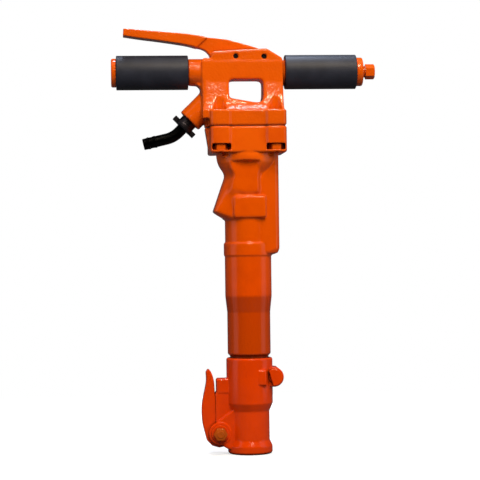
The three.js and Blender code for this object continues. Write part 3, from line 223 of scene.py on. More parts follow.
@dataclass(frozen=True)
class SprayedEnamel(Finish):
    """Alkyd enamel sprayed over cast iron. It dries to a wet gloss that rounds off the sand grain beneath it.

    Attributes:
        film: Colour of a full coat, or heights with the colour there, where painted shade and highlight change
            with height.
        thin: Colour where the coat is thin.
        corner: Colour of the painted shade in seams and inner corners.
        roughness: Roughness of the dried film.
        gloss: Shares of that roughness between which it varies.
        cloud: Width of the clouds of thin coat.
        cloud_range: Noise at a cloud's edge and core, and how thin the coat is there.
        painted_shade_width: Width of the seams and inner corners that take the painted shade.
        painted_shade_range: Open share of the space in a corner and out of it, and how much of the painted
            shade it takes there.
        peel: Width and height of the orange-peel waves.
        grain: Width and depth of the sand grain's dimples.
        swell: Width and height of the casting's own unevenness.
    """

    film: str | tuple[tuple[float, str], ...]
    thin: str
    # Painted shade, mixed into seams and inner corners.
    corner: str = "#7A2400"
    roughness: float = 0.12
    gloss: Row = (0.85, 1.25)
    cloud: float = 38.0
    cloud_range: Range = (0.42, 0.78, 0.0, 0.55)
    painted_shade_width: float = 8.0
    painted_shade_range: Range = (0.3, 0.75, 1.0, 0.0)
    peel: Row = (6.0, 0.07)
    grain: Row = (2.6, 0.15)
    swell: Row = (16.0, 0.3)

    def dress(self, nodes: Nodes) -> None:
        """Adds the enamel: an even film, faint clouds where it is thin, painted shade in corners, dimples and
        orange peel.

        Args:
            nodes: Nodes of the material.
        """
        clouds = nodes.noise(self.cloud, detail=3.0, roughness=0.55)
        film = self.film
        # A table of colours by height paints shade and highlight along the height.
        if not isinstance(film, str):
            low, high = film[0][0], film[-1][0]
            split = nodes.add("SeparateXYZ", {"Vector": nodes.place})
            height = nodes.remap((split, "Z"), low * MM, high * MM, 0.0, 1.0)
            film = nodes.ramp(height, *(((z - low) / (high - low), code) for z, code in film))
        coat = nodes.mix(nodes.remap(clouds, *self.cloud_range), film, self.thin)
        # Painted shade: seams and inner corners take the corner colour, more so the more closed in they are.
        near = nodes.add("AmbientOcclusion", {"samples": 8, "Distance": self.painted_shade_width * MM})
        coat = nodes.mix(nodes.remap((near, "AO"), *self.painted_shade_range), coat, self.corner)
        # Sand moulds give a little, so no face of the casting is quite flat.
        swell = nodes.bump(nodes.noise(self.swell[0], detail=1.0, roughness=0.4), self.swell[1])
        # Sand grain is 0.3 mm across on the real casting. It is drawn coarser, so that its glints show.
        cells = {"feature": "SMOOTH_F1", "Scale": 1 / (self.grain[0] * MM), "Smoothness": 0.8}
        grain = nodes.add("TexVoronoi", {"Vector": nodes.place, **cells})
        dimples = nodes.bump((grain, "Distance"), self.grain[1], swell)
        # Orange peel is 1 to 3 mm across on the real film, and is drawn coarser for the same reason.
        waves = nodes.bump(nodes.noise(self.peel[0], detail=1.5), self.peel[1], dimples)
        gloss = nodes.remap(clouds, *NOISE_RANGE, *(share * self.roughness for share in self.gloss))
        surface = {"Base Color": coat, "Roughness": gloss, "Normal": waves}
        nodes.shade({"IOR": 1.5, "Specular IOR Level": 0.42, **surface})


@dataclass(frozen=True)
class Rubber(Finish):
    """Black rubber. Extruded sleeves have faint drag lines and a grey bloom; moulded seals are plain.

    Attributes:
        black: Colour of the clean rubber.
        bloom: Colour where wax has bloomed to the surface.
        roughness: Roughness of the skin.
        line: Width and depth of the drag lines, as on the real sleeve.
        line_length: Length over which a drag line changes.
        cloud: Width of the clouds of bloom.
        cloud_range: Noise at a cloud's edge and core, and how full it is there.
    """

    black: str
    bloom: str
    roughness: float
    line: Row = (2.0, 0.05)
    line_length: float = 120.0
    cloud: float = 22.0
    cloud_range: Range = (0.4, 0.75, 0.0, 0.7)

    def dress(self, nodes: Nodes) -> None:
        """Adds the rubber: a matt black with a bloom in clouds and fine lines along the handle.

        Args:
            nodes: Nodes of the material.
        """
        scale = [1 / (size * MM) for size in (self.line_length, self.line[0], self.line[0])]
        stretched = nodes.add("Mapping", {"Scale": scale, "Vector": nodes.place})
        pattern = nodes.add("TexNoise", {"Scale": 1.0, "Vector": (stretched, 0)})
        lines = nodes.bump((pattern, "Fac"), self.line[1])
        share = nodes.remap(nodes.noise(self.cloud, detail=3.0), *self.cloud_range)
        surface = {"Base Color": nodes.mix(share, self.black, self.bloom), "Normal": lines}
        nodes.shade({"IOR": 1.52, "Roughness": self.roughness, "Specular IOR Level": 0.3, **surface})


@dataclass(frozen=True)
class Metal(Finish):
    """Bare or blackened metal. Turning and handling leave it with a soft, slightly uneven shine.

    Attributes:
        bright: Colour of the metal where it is rubbed.
        dull: Colour where its oxide or cast skin lies.
        roughness: Middle roughness.
        gloss: Shares of that roughness between which it varies, from dull to bright.
        cloud: Width of the dull and bright clouds.
        cloud_edge: Noise where a cloud is dull and where it is bright.
        grain: Width and depth of the marks on it.
    """

    bright: str
    dull: str
    roughness: float
    gloss: Row = (1.25, 0.8)
    cloud: float = 9.0
    cloud_edge: Row = (0.38, 0.62)
    grain: Row = (1.5, 0.02)

    def dress(self, nodes: Nodes) -> None:
        """Adds the metal: two close tones in clouds, with an uneven roughness and fine marks.

        Args:
            nodes: Nodes of the material.
        """
        clouds = nodes.noise(self.cloud, detail=4.0)
        tone = nodes.ramp(clouds, *zip(self.cloud_edge, (self.dull, self.bright)))
        gloss = nodes.remap(clouds, *NOISE_RANGE, *(share * self.roughness for share in self.gloss))
        marks = nodes.bump(nodes.noise(self.grain[0]), self.grain[1])
        nodes.shade({"Metallic": 1.0, "Base Color": tone, "Roughness": gloss, "Normal": marks})


@dataclass(frozen=True)
class PressedFibre(Finish):
    """Pressed fibre sheet of the flange gasket, its cut edge stained by the paint that was sprayed over it.

    Attributes:
        stained: Colour of the stained edge.
        fibre: Colour of the flecks.
        fleck: Width of a fleck.
        fleck_edge: Noise where a fleck starts and where it is full.
    """

    stained: str
    fibre: str
    fleck: float = 1.2
    fleck_edge: Row = (0.45, 0.7)

    def dress(self, nodes: Nodes) -> None:
        """Adds the fibre: matt, with short flecks of the unpainted sheet.

        Args:
            nodes: Nodes of the material.
        """
        flecks = nodes.noise(self.fleck, detail=3.0)
        tone = nodes.ramp(flecks, *zip(self.fleck_edge, (self.stained, self.fibre)))
        nodes.shade({"IOR": 1.5, "Roughness": 0.8, "Base Color": tone})


class Finishes:
    """Every finish on the tool, made once."""

    def __init__(self) -> None:
        """Makes the materials."""
        # Orange alkyd enamel, sprayed over sand-cast iron: a deep wet gloss, with the sand's grain in it.
        rough = {"grain": (3.2, 0.16), "swell": (16.0, 0.5)}
        self.orange = SprayedEnamel("orange_enamel_on_cast_iron", "#DE5806", "#C84A04", **rough).made()
        # The same enamel on the cylinder, with its colour set by height as painted shade and light: near black
        # in the groove above the front head, darker over the turned lower barrel and darkest on its downward
        # taper, and a lighter band on the bell under the flange.
        shade_and_highlight_by_height = (
            (100, "#581A00"), (138.4, "#581A00"), (139.6, "#C84200"), (196, "#C84200"), (199, "#B83A00"),
            (218, "#B83A00"), (222, "#EA4E00"), (276, "#E65000"), (296, "#E25200"), (404, "#E25400"),
            (408, "#F86408"), (417, "#F86408"), (419, "#E65A06"), (456, "#E65A06"),
        )
        even = {"roughness": 0.15, "peel": (6.0, 0.04), "grain": (2.6, 0.05), "swell": (16.0, 0.12)}
        self.cylinder = SprayedEnamel("orange_enamel_on_cylinder", shade_and_highlight_by_height, "#C83E00", **even).made()
        # A redder batch of the same enamel on the front head, over a smoother casting.
        fine = {"roughness": 0.15, "grain": (2.6, 0.06)}
        self.head = SprayedEnamel("red_orange_enamel_on_cast_steel", "#E84200", "#CC3600", **fine).made()
        # The enamel is thin and brown over the black nut of the latch bolt.
        worn = {"roughness": 0.25, "peel": (6.0, 0.03), "grain": (2.6, 0.04)}
        self.thin = SprayedEnamel("thin_enamel_on_black_steel", "#BC520C", "#8A3A06", **worn).made()
        # Extruded EPDM sleeve: matt black, with a broad grey sheen under the lamp.
        self.grip = Rubber("extruded_epdm_rubber", "#24262F", "#30323D", 0.5).made()
        # Moulded nitrile seal: plain black.
        self.seal = Rubber("moulded_nitrile_rubber", "#131315", "#1A1A1C", 0.55).made()
        # Bent steel tube with a black oxide skin: nearly black, with a soft grey streak.
        self.black = Metal("black_oxide_steel", "#232324", "#121213", 0.32).made()
        # Die-cast zinc alloy, left as cast: dark violet grey, rough.
        self.zinc = Metal("die_cast_zinc_alloy", "#504C54", "#312F36", 0.46, grain=(1.2, 0.05)).made()
        # Ground and oiled alloy steel of the working parts: bright, a little blurred.
        self.bare = Metal("ground_alloy_steel", "#A9A7A2", "#7C7973", 0.3).made()
        # Gasket of pressed fibre, stained at its edge: dull, flecked brown.
        self.fibre = PressedFibre("pressed_fibre_gasket", "#9C3A0C", "#6A4A34").made()


# ---- meshes


def new_piece(name: str, mesh: Mesh) -> Object:
    """Puts a mesh into the scene as an object.

    Args:
        name: Name of both.
        mesh: The mesh, in metres.

    Returns:
        The new object.
    """
    mesh.name = name
    piece = bpy.data.objects.new(name, mesh)
    bpy.context.scene.collection.objects.link(piece)
    return piece


def settle(piece: Object) -> None:
    """Puts the result of an object's modifiers into its mesh.

    Args:
        piece: The object.
    """
    bpy.context.view_layer.update()
    graph = bpy.context.evaluated_depsgraph_get()
    result = bpy.data.meshes.new_from_object(piece.evaluated_get(graph))
    piece.modifiers.clear()
    before, piece.data = piece.data, result
    bpy.data.meshes.remove(before)


def frame_at(start: Point, direction: Point, turn: float = 0.0) -> Matrix:
    """Gives the matrix that stands a piece, made upward from zero, at a place. The turn is in radians."""
    lean = Vector(UP).rotation_difference(Vector(direction).normalized())
    return Matrix.Translation(Vector(start) * MM) @ lean.to_matrix().to_4x4() @ Matrix.Rotation(turn, 4, "Z")


def loft(name: str, rings: Sequence[np.ndarray], place: Matrix = Matrix(), closed: bool = False) -> Object:
    """Makes a skin over rings of equally many points, in order.

    Args:
        name: Name of the object.
        rings: Points of each ring.
        place: Matrix that places the piece.
        closed: Whether the last ring joins the first, and not a cap at each end.

    Returns:
        The new object.
    """
    rows = np.arange(len(rings) * len(rings[0])).reshape(len(rings), -1)
    caps = [] if closed else [rows[0][::-1].tolist(), rows[-1].tolist()]
    low, high = (rows, np.roll(rows, -1, axis=0)) if closed else (rows[:-1], rows[1:])
    sides = np.stack([low, np.roll(low, -1, axis=1), np.roll(high, -1, axis=1), high], axis=2)
    mesh = bpy.data.meshes.new(name)
    mesh.from_pydata((np.concatenate(rings) * MM).tolist(), [], sides.reshape(-1, 4).tolist() + caps)
    work = bmesh.new()
    work.from_mesh(mesh)
    bmesh.ops.remove_doubles(work, verts=work.verts, dist=WELD)
    bmesh.ops.dissolve_degenerate(work, edges=work.edges, dist=WELD / 10)
    bmesh.ops.recalc_face_normals(work, faces=work.faces)
    work.to_mesh(mesh)
    work.free()
    mesh.transform(place)
    mesh.shade_smooth()
    mesh.set_sharp_from_angle(angle=SHARP)
    return new_piece(name, mesh)


def ring(radius: float | np.ndarray, height: float | np.ndarray) -> np.ndarray:
    """Gives the points of a ring about the axis, level or of its own height and radius at each point."""
    return np.stack(np.broadcast_arrays(radius * np.cos(TURN), radius * np.sin(TURN), height), axis=1)


def eased(profile: Sequence[Point]) -> list[Row]:
    """Rounds the corners of a turned profile.

    Args:
        profile: Radius, height and corner radius of each point.

    Returns:
        Radius and height of each point of the rounded profile.
    """
    points: list[Row] = []
    for i, (radius, height, ease) in enumerate(profile):
        if ease == 0:
            points.append((radius, height))
            continue
        here = Vector((radius, height))
        before = Vector(profile[i - 1][:2]) - here
        after = Vector(profile[i + 1][:2]) - here
        run = ease / math.tan(before.angle(after) / 2)
        first, last = here + before.normalized() * run, here + after.normalized() * run
        for share in np.linspace(0, 1, EASE_STEPS + 1):
            points.append(tuple(first.lerp(here, share).lerp(here.lerp(last, share), share)))
    return points


def turned(name: str, profile: Sequence[Point], start: Point, direction: Point) -> Object:
    """Turns a profile of radii, heights and corner radii. One that starts off the axis makes a ring."""
    rings = [ring(max(radius, ON_AXIS), height) for radius, height in eased(profile)]
    return loft(name, rings, frame_at(start, direction), closed=profile[0][0] > 0)


def turned_ring(name: str, radii: Row, heights: Row, edges: Row, start: Point, direction: Point) -> Object:
    """Turns a plain ring whose outer edges are rounded.

    Args:
        name: Name of the object.
        radii: Inner and outer radius.
        heights: Heights of its faces.
        edges: Corner radii of its outer edges.
        start: Place of height zero.
        direction: Axis that it is turned about.

    Returns:
        The new object.
    """
    (inner, outer), (foot, top), (low, high) = radii, heights, edges
    return turned(
        name, ((inner, foot, 0), (outer, foot, low), (outer, top, high), (inner, top, 0)), start, direction
    )


def hex_rings(flats: float, foot: float, top: float, foot_chamfer: bool = False) -> list[np.ndarray]:
    """Gives the rings of a hexagon whose corners are turned off at the top, as on a bolt head or nut.

    Args:
        flats: Width across the flats.
        foot: Height of its foot.
        top: Height of its top.
        foot_chamfer: Whether the foot's corners are turned off too.

    Returns:
        The rings, from foot to top.
    """
    wide = flats / 2 / np.cos((TURN % (math.pi / 3)) - math.pi / 6)
    face = flats / 2 * HEX_FACE
    drop = (wide - face) * HEX_SLOPE
    low = [ring(face, foot), ring(wide, foot + drop)] if foot_chamfer else [ring(wide, foot)]
    return [*low, ring(wide, top - drop), ring(face, top)]


def thread_rings(radius: float, pitch: float, foot: float, top: float) -> list[np.ndarray]:
    """Gives the rings of a screw thread with a chamfered end.

    Args:
        radius: Outer radius.
        pitch: Pitch of the thread.
        foot: Height where it starts.
        top: Height of its end.

    Returns:
        The rings, from foot to top.
    """
    rings = []
    for height in np.linspace(foot, top, round((top - foot) / pitch * THREAD_STEPS) + 1):
        phase = (height / pitch - TURN / (2 * math.pi)) % 1.0
        depth = pitch * THREAD_DEPTH * np.abs(phase - 0.5) * 2
        end = max(0.0, height - (top - pitch)) * THREAD_CHAMFER
        rings.append(ring(np.minimum(radius - depth, radius - end), height))
    return rings


@dataclass(frozen=True)
class RoundFace:
    """A turned face of a casting, which the CAD solid has in flat facets.

    Attributes:
        start: A point on its axis.
        direction: Direction of its axis.
        profile: Distance along the axis, and radius there.
        reach: How far off the face a point may lie and still be drawn on to it.
    """

    start: Point
    direction: Point
    profile: tuple[Row, ...]
    reach: float = 0.55

    @classmethod
    def even(cls, start: Point, direction: Point, radius: float, span: Row, reach: float = 0.55) -> Self:
        """Gives a face of the same radius over a span of its axis."""
        return cls(start, direction, ((span[0], radius), (span[1], radius)), reach)

    def polar(self, points: np.ndarray) -> tuple[np.ndarray, np.ndarray, np.ndarray]:
        """Measures points from the axis.

        Args:
            points: The points.

        Returns:
            Each point's distance along the axis, its spoke from the axis, and its radius.
        """
        axis = np.array(Vector(self.direction).normalized())
        offset = points - np.array(self.start)
        along = offset @ axis
        spoke = offset - np.outer(along, axis)
        return along, spoke, np.linalg.norm(spoke, axis=1)

    def draw_on(self, points: np.ndarray) -> np.ndarray:
        """Moves the points that lie near the face on to it.

        Args:
            points: The points.

        Returns:
            The moved points.
        """
        along, spoke, radius = self.polar(points)
        places, radii = np.array(self.profile).T
        target = np.interp(along, places, radii)
        inside = (along >= places[0]) & (along <= places[-1]) & (radius > ON_AXIS)
        weight = inside * np.clip(2 - np.abs(radius - target) / self.reach, 0, 1)
        return points + spoke * (weight * (target / np.maximum(radius, ON_AXIS) - 1))[:, None]

    def holds(self, points: np.ndarray) -> np.ndarray:
        """Tells which points lie on the face or inside it.

        Args:
            points: Points of the skin.

        Returns:
            Whether each one does.
        """
        along, _, radius = self.polar(points)
        places, radii = np.array(self.profile).T
        inside = (along >= places[0] - self.reach * 2) & (along <= places[-1] + self.reach * 2)
        return inside & (radius <= np.interp(along, places, radii) + self.reach)


@dataclass(frozen=True)
class FlatFace:
    """A flat face cast on the front of a round body, which the body's skin is drawn on to.

    Attributes:
        low: Its least X and Z.
        high: Its greatest X and Z.
        place: Its Y.
        reach: How far in front of or behind it a point may lie and still be drawn on to it.
        fade: Distance beside it over which this ends.
        lip: The same distance above and below it.
    """

    low: Row
    high: Row
    place: float
    reach: float = 10.0
    fade: float = 5.0
    lip: float = 2.0

    def draw_on(self, points: np.ndarray) -> np.ndarray:
        """Moves the points that lie near the face on to it.

        Args:
            points: The points.

        Returns:
            The moved points.
        """
        x, y, z = points.T
        beside = np.maximum(self.low[0] - x, x - self.high[0]).clip(0) / self.fade
        beyond = np.maximum(self.low[1] - z, z - self.high[1]).clip(0) / self.lip
        weight = np.clip(1 - np.hypot(beside, beyond), 0, 1) * (np.abs(y - self.place) < self.reach)
        return np.stack([x, y + weight * (self.place - y), z], axis=1)


@dataclass(frozen=True)
class WideFillet:
    """A part of a casting whose forms run into each other with wider fillets than elsewhere.

    Attributes:
        low: Low corner of the box round it.
        high: High corner of that box.
        passes: How often the skin is smoothed there, beyond the rest.
        fade: Distance outside the box over which this ends.
    """

    low: Point
    high: Point
    passes: int
    fade: float = 6.0

    def shares(self, points: np.ndarray) -> np.ndarray:
        """Gives how much of this smoothing each point takes, from 0 to 1 in tenths."""
        outside = np.maximum(np.array(self.low) - points, points - np.array(self.high)).max(axis=1)
        return np.round(np.clip(1 - outside / self.fade, 0, 1), 1)


def smooth(piece: Object, name: str, passes: int, shares: np.ndarray) -> None:
    """Adds a modifier that smooths a skin.

    Args:
        piece: The object.
        name: Name of the modifier.
        passes: How often it smooths.
        shares: How much of it each point takes, from 0 to 1.
    """
    group = piece.vertex_groups.new(name=name)
    for share in np.unique(shares[shares > 0]):
        group.add(np.flatnonzero(shares == share).tolist(), float(share), "REPLACE")
    modifier = piece.modifiers.new(name, "SMOOTH")
    modifier.iterations, modifier.vertex_group = passes, name


def cast_copy(
    node: str,
    voxel: float,
    passes: int,
    faces: Sequence[RoundFace | FlatFace] = (),
    wide: Sequence[WideFillet] = (),
    bore: RoundFace | None = None,
    name: str | None = None,
) -> Object:
    """Makes a casting of a CAD solid: the same shape with round faces, and with fillets on all its edges.

    Args:
        node: Name of the CAD node.
        voxel: Width of the skin's cells.
        passes: How often the skin is smoothed, which sets how wide its fillets are.
        faces: Its turned and flat faces.
        wide: Its parts with wider fillets.
        bore: A bored face, which keeps its sharp ends.
        name: Name of the new object.

    Returns:
        The new object, which stands for the node.
    """
    piece = new_piece(name or f"{node}_casting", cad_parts[node].data.copy())
    piece.data.materials.clear()
    skin = piece.modifiers.new("skin", "REMESH")
    skin.mode, skin.voxel_size = "VOXEL", voxel * MM
    settle(piece)
    points = np.empty(len(piece.data.vertices) * 3, np.float32)
    piece.data.vertices.foreach_get("co", points)
    points = points.reshape(-1, 3).astype(float) / MM
    for face in faces:
        points = face.draw_on(points)
    piece.data.vertices.foreach_set("co", (points * MM).astype(np.float32).ravel())
    free = np.ones(len(points)) if bore is None else 1.0 - bore.holds(points)
    for number, part in enumerate(wide):
        smooth(piece, f"wide_fillet_{number}", part.passes, part.shares(points) * free)
    smooth(piece, "fillets", passes, free)
    settle(piece)
    piece.data.shade_smooth()
    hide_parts(node)
    log.info("%s: %d faces", piece.name, len(piece.data.polygons))
    return piece


def fit(piece: Object, slot: Slot, finish: Material, *nodes: str, body: Body = Body.TOOL) -> None:
    """Dresses a finished piece, lets it ride on its body, and hides the CAD nodes that it stands for.

    Args:
        piece: The object.
        slot: The record's slot for its finish. It is not used.
        finish: Its material.
        *nodes: CAD nodes that it stands for.
        body: Body that it moves with.
    """
    piece.data.materials.clear()
    piece.data.materials.append(finish)
    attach(piece, body.value)
    if nodes:
        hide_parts(*nodes)


def dress(finish: Material, *nodes: str) -> None:
    """Gives CAD nodes that stay as they are a finish.

    Args:
        finish: The material.
        *nodes: Names of the nodes.
    """
    for name in nodes:
        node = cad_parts[name]
        if not node.material_slots:
            node.data.materials.append(finish)
        for slot in node.material_slots:
            slot.material = finish


# ---- sub-assemblies


@dataclass
class FrontHead:
    """Front head with its nose, mouth, latch cheeks and lock bolt boss, and the chuck liner in it."""

    finishes: Finishes
    voxel: float = 0.9
    passes: int = 7
    skin: RoundFace = RoundFace(
        ORIGIN, UP, ((2.2, 31.2), (11.0, 31.2), (19.0, 27.3), (59.5, 27.3), (70.7, 32.3), (132.4, 32.3))
    )
    mouth: RoundFace = RoundFace.even(ORIGIN, UP, 22.5, (0.0, 66.0))
    pivot_boss: RoundFace = RoundFace.even(LATCH_AXIS, BACKWARD, 15.5, (-20.0, 20.0))
    lock_boss: RoundFace = RoundFace.even(LOCK_AXIS, BACKWARD, 13.6, (-19.0, 19.0))

    def build(self) -> None:
        """Makes the casting and dresses the liner."""
        faces = (self.skin, self.mouth, self.pivot_boss, self.lock_boss)
        fit(cast_copy("front_head", self.voxel, self.passes, faces), Slot.HEAD, self.finishes.head)
        dress(self.finishes.bare, "chuck_liner")


@dataclass
class Latch:
    """Tool retainer latch with its bolt, nut, washer and the plunger that holds it shut."""

    finishes: Finishes
    voxel: float = 0.6
    passes: int = 5
    radius: float = 6.0
    thread_pitch: float = 1.75
    thread_past_nut: float = 0.8
    flats: float = 19.0
    head_length: float = 7.5
    nut_flats: float = 16.5
    nut_length: float = 10.0
    washer_radius: float = 12.0
    washer_faces: Row = (17.16, 19.66)

    def build(self) -> None:
        """Makes the latch and its fasteners."""
        paint, worn = self.finishes.head, self.finishes.thin
        front, back = frame_at(LATCH_AXIS, FORWARD), frame_at(LATCH_AXIS, BACKWARD)
        face, nut_face = self.washer_faces[0], self.washer_faces[1] + SEAT_GAP
        nut_end = nut_face + self.nut_length
        fit(cast_copy("latch", self.voxel, self.passes), Slot.HEAD, paint, body=Body.LATCH)
        head = loft("latch_bolt_head", hex_rings(self.flats, face, face + self.head_length), back)
        fit(head, Slot.HEAD, paint, "latch_bolt")
        thread = thread_rings(self.radius, self.thread_pitch, nut_face, nut_end + self.thread_past_nut)
        fit(loft("latch_bolt_thread", thread, front), Slot.HEAD, worn, "latch_bolt")
        shank = loft("latch_bolt_shank", [ring(self.radius, face), ring(self.radius, -nut_face)], back)
        fit(shank, Slot.HEAD, paint, "latch_bolt")
        nut = loft("latch_hex_nut", hex_rings(self.nut_flats, nut_face, nut_end, foot_chamfer=True), front)
        fit(nut, Slot.HEAD, worn, "latch_nut")
        sizes = (self.radius + HOLE_PLAY, self.washer_radius), self.washer_faces, WASHER_EDGES
        washer = turned_ring("latch_plain_washer", *sizes, LATCH_AXIS, FORWARD)
        fit(washer, Slot.HEAD, paint, "latch_washer")
        dress(self.finishes.bare, "latch_plunger", "latch_spring")


@dataclass
class LockBolt:
    """Bolt with a D-shaped head that locks the front head on the cylinder, with its washer and nut behind."""

    finishes: Finishes
    voxel: float = 0.6
    passes: int = 4
    head: RoundFace = RoundFace.even(LOCK_AXIS, BACKWARD, 11.5, (-26.5, -19.1), 0.4)
    radius: float = 8.0
    washer_radius: float = 12.6
    washer_faces: Row = (19.06, 21.56)
    nut_flats: float = 24.0
    nut_length: float = 12.0

    def build(self) -> None:
        """Makes the bolt, washer and nut."""
        paint = self.finishes.head
        bolt = cast_copy("lock_bolt", self.voxel, self.passes, (self.head,), name="lock_bolt_forging")
        fit(bolt, Slot.HEAD, paint)
        sizes = (self.radius + HOLE_PLAY, self.washer_radius), self.washer_faces, WASHER_EDGES
        washer = turned_ring("lock_plain_washer", *sizes, LOCK_AXIS, BACKWARD)
        fit(washer, Slot.HEAD, paint, "lock_washer")
        face = self.washer_faces[1] + SEAT_GAP
        rings = hex_rings(self.nut_flats, face, face + self.nut_length, foot_chamfer=True)
        fit(loft("lock_hex_nut", rings, frame_at(LOCK_AXIS, BACKWARD)), Slot.HEAD, paint, "lock_nut")


@dataclass
class Cylinder:
    """Cylinder casting with its flange, bolt pockets, rib, pad and exhaust hood, and what works inside it."""

    finishes: Finishes
    voxel: float = 1.0
    passes: int = 7
    foot: RoundFace = RoundFace(ORIGIN, UP, ((139.4, 30.05), (197.6, 30.05), (219.9, 32.5), (276.2, 32.5)))
    band: RoundFace = RoundFace.even(ORIGIN, UP, 33.8, (276.2, 293.5))
    body: RoundFace = RoundFace.even(ORIGIN, UP, 31.8, (295.1, 385.1))
    # Height and radius of the four points that steer the curve from the body out to the flange.
    bell: tuple[Row, ...] = ((385.1, 31.8), (396.79, 31.8), (396.79, 43.0), (420.1, 43.0))
    bell_steps: int = 12
    bell_reach: float = 0.8
    bore: RoundFace = RoundFace.even(ORIGIN, UP, 22.3, (205.0, 408.0))
    # The flat under the flange that carries the letters in the photograph. It ends at the pad.
    flat: FlatFace = FlatFace((-23.0, 364.0), (12.0, 406.0), -33.5)
    hood: WideFillet = WideFillet((-60, -40, 349), (-16, 40, 392), 110)
    hood_lip: WideFillet = WideFillet((-60, -40, 326), (-40, 40, 346), 24)
    pad: WideFillet = WideFillet((-27, -45, 320), (30, -29, 366), 22, fade=3.0)

    def bell_profile(self) -> tuple[Row, ...]:
        """Works out the bell's curve.

        Returns:
            Height and radius at each step.
        """
        t = np.linspace(0, 1, self.bell_steps + 1)
        shares = np.stack([(1 - t) ** 3, 3 * t * (1 - t) ** 2, 3 * t**2 * (1 - t), t**3], axis=1)
        return tuple(map(tuple, shares @ np.array(self.bell)))

    def build(self) -> None:
        """Makes the casting, and dresses the valve and the piston."""
        bell = RoundFace(ORIGIN, UP, self.bell_profile(), self.bell_reach)
        faces = (self.foot, self.band, self.body, bell, self.bore, self.flat)
        wide = (self.hood, self.hood_lip, self.pad)
        casting = cast_copy("cylinder", self.voxel, self.passes, faces, wide, self.bore)
        fit(casting, Slot.ORANGE, self.finishes.cylinder)
        dress(self.finishes.bare, "piston", "valve_seat", "valve_disc", "valve_cap")
        dress(self.finishes.bare, "valve_dowel", "valve_spring_washer")
        dress(self.finishes.fibre, "flange_gasket")


@dataclass
class FlangeBolts:
    """Four bolts with hex heads in the pockets under the flange, each with a split lock washer."""

    finishes: Finishes
    flats: float = 19.0
    head_length: float = 8.0
    radius: float = 6.0
    washer_gap: float = 0.35
    # How far the gap of each washer is turned from the last one's, in radians.
    washer_turn: float = 1.3

    def build(self) -> None:
        """Makes the bolts and washers where the CAD has them."""
        upright = reversed(hex_rings(self.flats, 0, self.head_length))
        head = [points * (1, 1, -1) + (0, 0, self.head_length) for points in upright]
        for number in range(1, 5):
            low, high = (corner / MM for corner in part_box(f"flange_bolt_{number}"))
            x, y, length = (low.x + high.x) / 2, (low.y + high.y) / 2, high.z - low.z
            shank = [ring(ON_AXIS, length), ring(self.radius, length), ring(self.radius, self.head_length)]
            rings = [*shank, *head, ring(ON_AXIS, 0)]
            bolt = loft(f"flange_hex_bolt_{number}", rings, frame_at((x, y, low.z), UP))
            fit(bolt, Slot.ORANGE, self.finishes.orange, f"flange_bolt_{number}")
            foot, top = (corner.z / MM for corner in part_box(f"flange_washer_{number}"))
            place = frame_at((x, y, foot), UP, number * self.washer_turn)
            washer = loft(f"flange_lock_washer_{number}", self.split_rings(top - foot), place)
            fit(washer, Slot.ORANGE, self.finishes.orange, f"flange_washer_{number}")

    def split_rings(self, thickness: float) -> list[np.ndarray]:
        """Makes the sections of a spring washer, from one side of its gap round to the other.

        Args:
            thickness: Thickness of the washer.

        Returns:
            Points of each section.
        """
        inner, outer = self.radius + HOLE_PLAY, self.flats / 2
        corners = ((inner, 0.0), (outer, 0.0), (outer, thickness), (inner, thickness))
        gap = self.washer_gap / outer
        turns = np.linspace(gap, 2 * math.pi - gap, AROUND + 1)
        return [np.array([(r * math.cos(turn), r * math.sin(turn), z) for r, z in corners]) for turn in turns]


@dataclass
class Backhead:
    """Backhead casting: handle necks and arms, ears, legs, window, inlet boss and flange."""

    finishes: Finishes
    voxel: float = 1.0
    passes: int = 8
    left_neck: RoundFace = RoundFace.even(HANDLE_AXIS, ACROSS, 19.0, (-81.0, -50.0), 0.45)
    right_neck: RoundFace = RoundFace.even(HANDLE_AXIS, ACROSS, 19.0, (40.0, 54.6), 0.45)
    boss: RoundFace = RoundFace.even(INLET_FACE, (1, 0, 1), 17.5, (0.8, 44.0), 0.45)
    notch: WideFillet = WideFillet((-80, -30, 487), (-54, 30, 518), 90)
    window: WideFillet = WideFillet((-31, -40, 484), (29, 40, 529), 34, fade=4.0)

    def build(self) -> None:
        """Makes the casting, and dresses the throttle inside it."""
        faces, wide = (self.left_neck, self.right_neck, self.boss), (self.notch, self.window)
        casting = cast_copy("backhead", self.voxel, self.passes, faces, wide)
        fit(casting, Slot.ORANGE, self.finishes.orange)
        dress(self.finishes.bare, "throttle_valve", "throttle_seat", "throttle_plug", "throttle_spring")


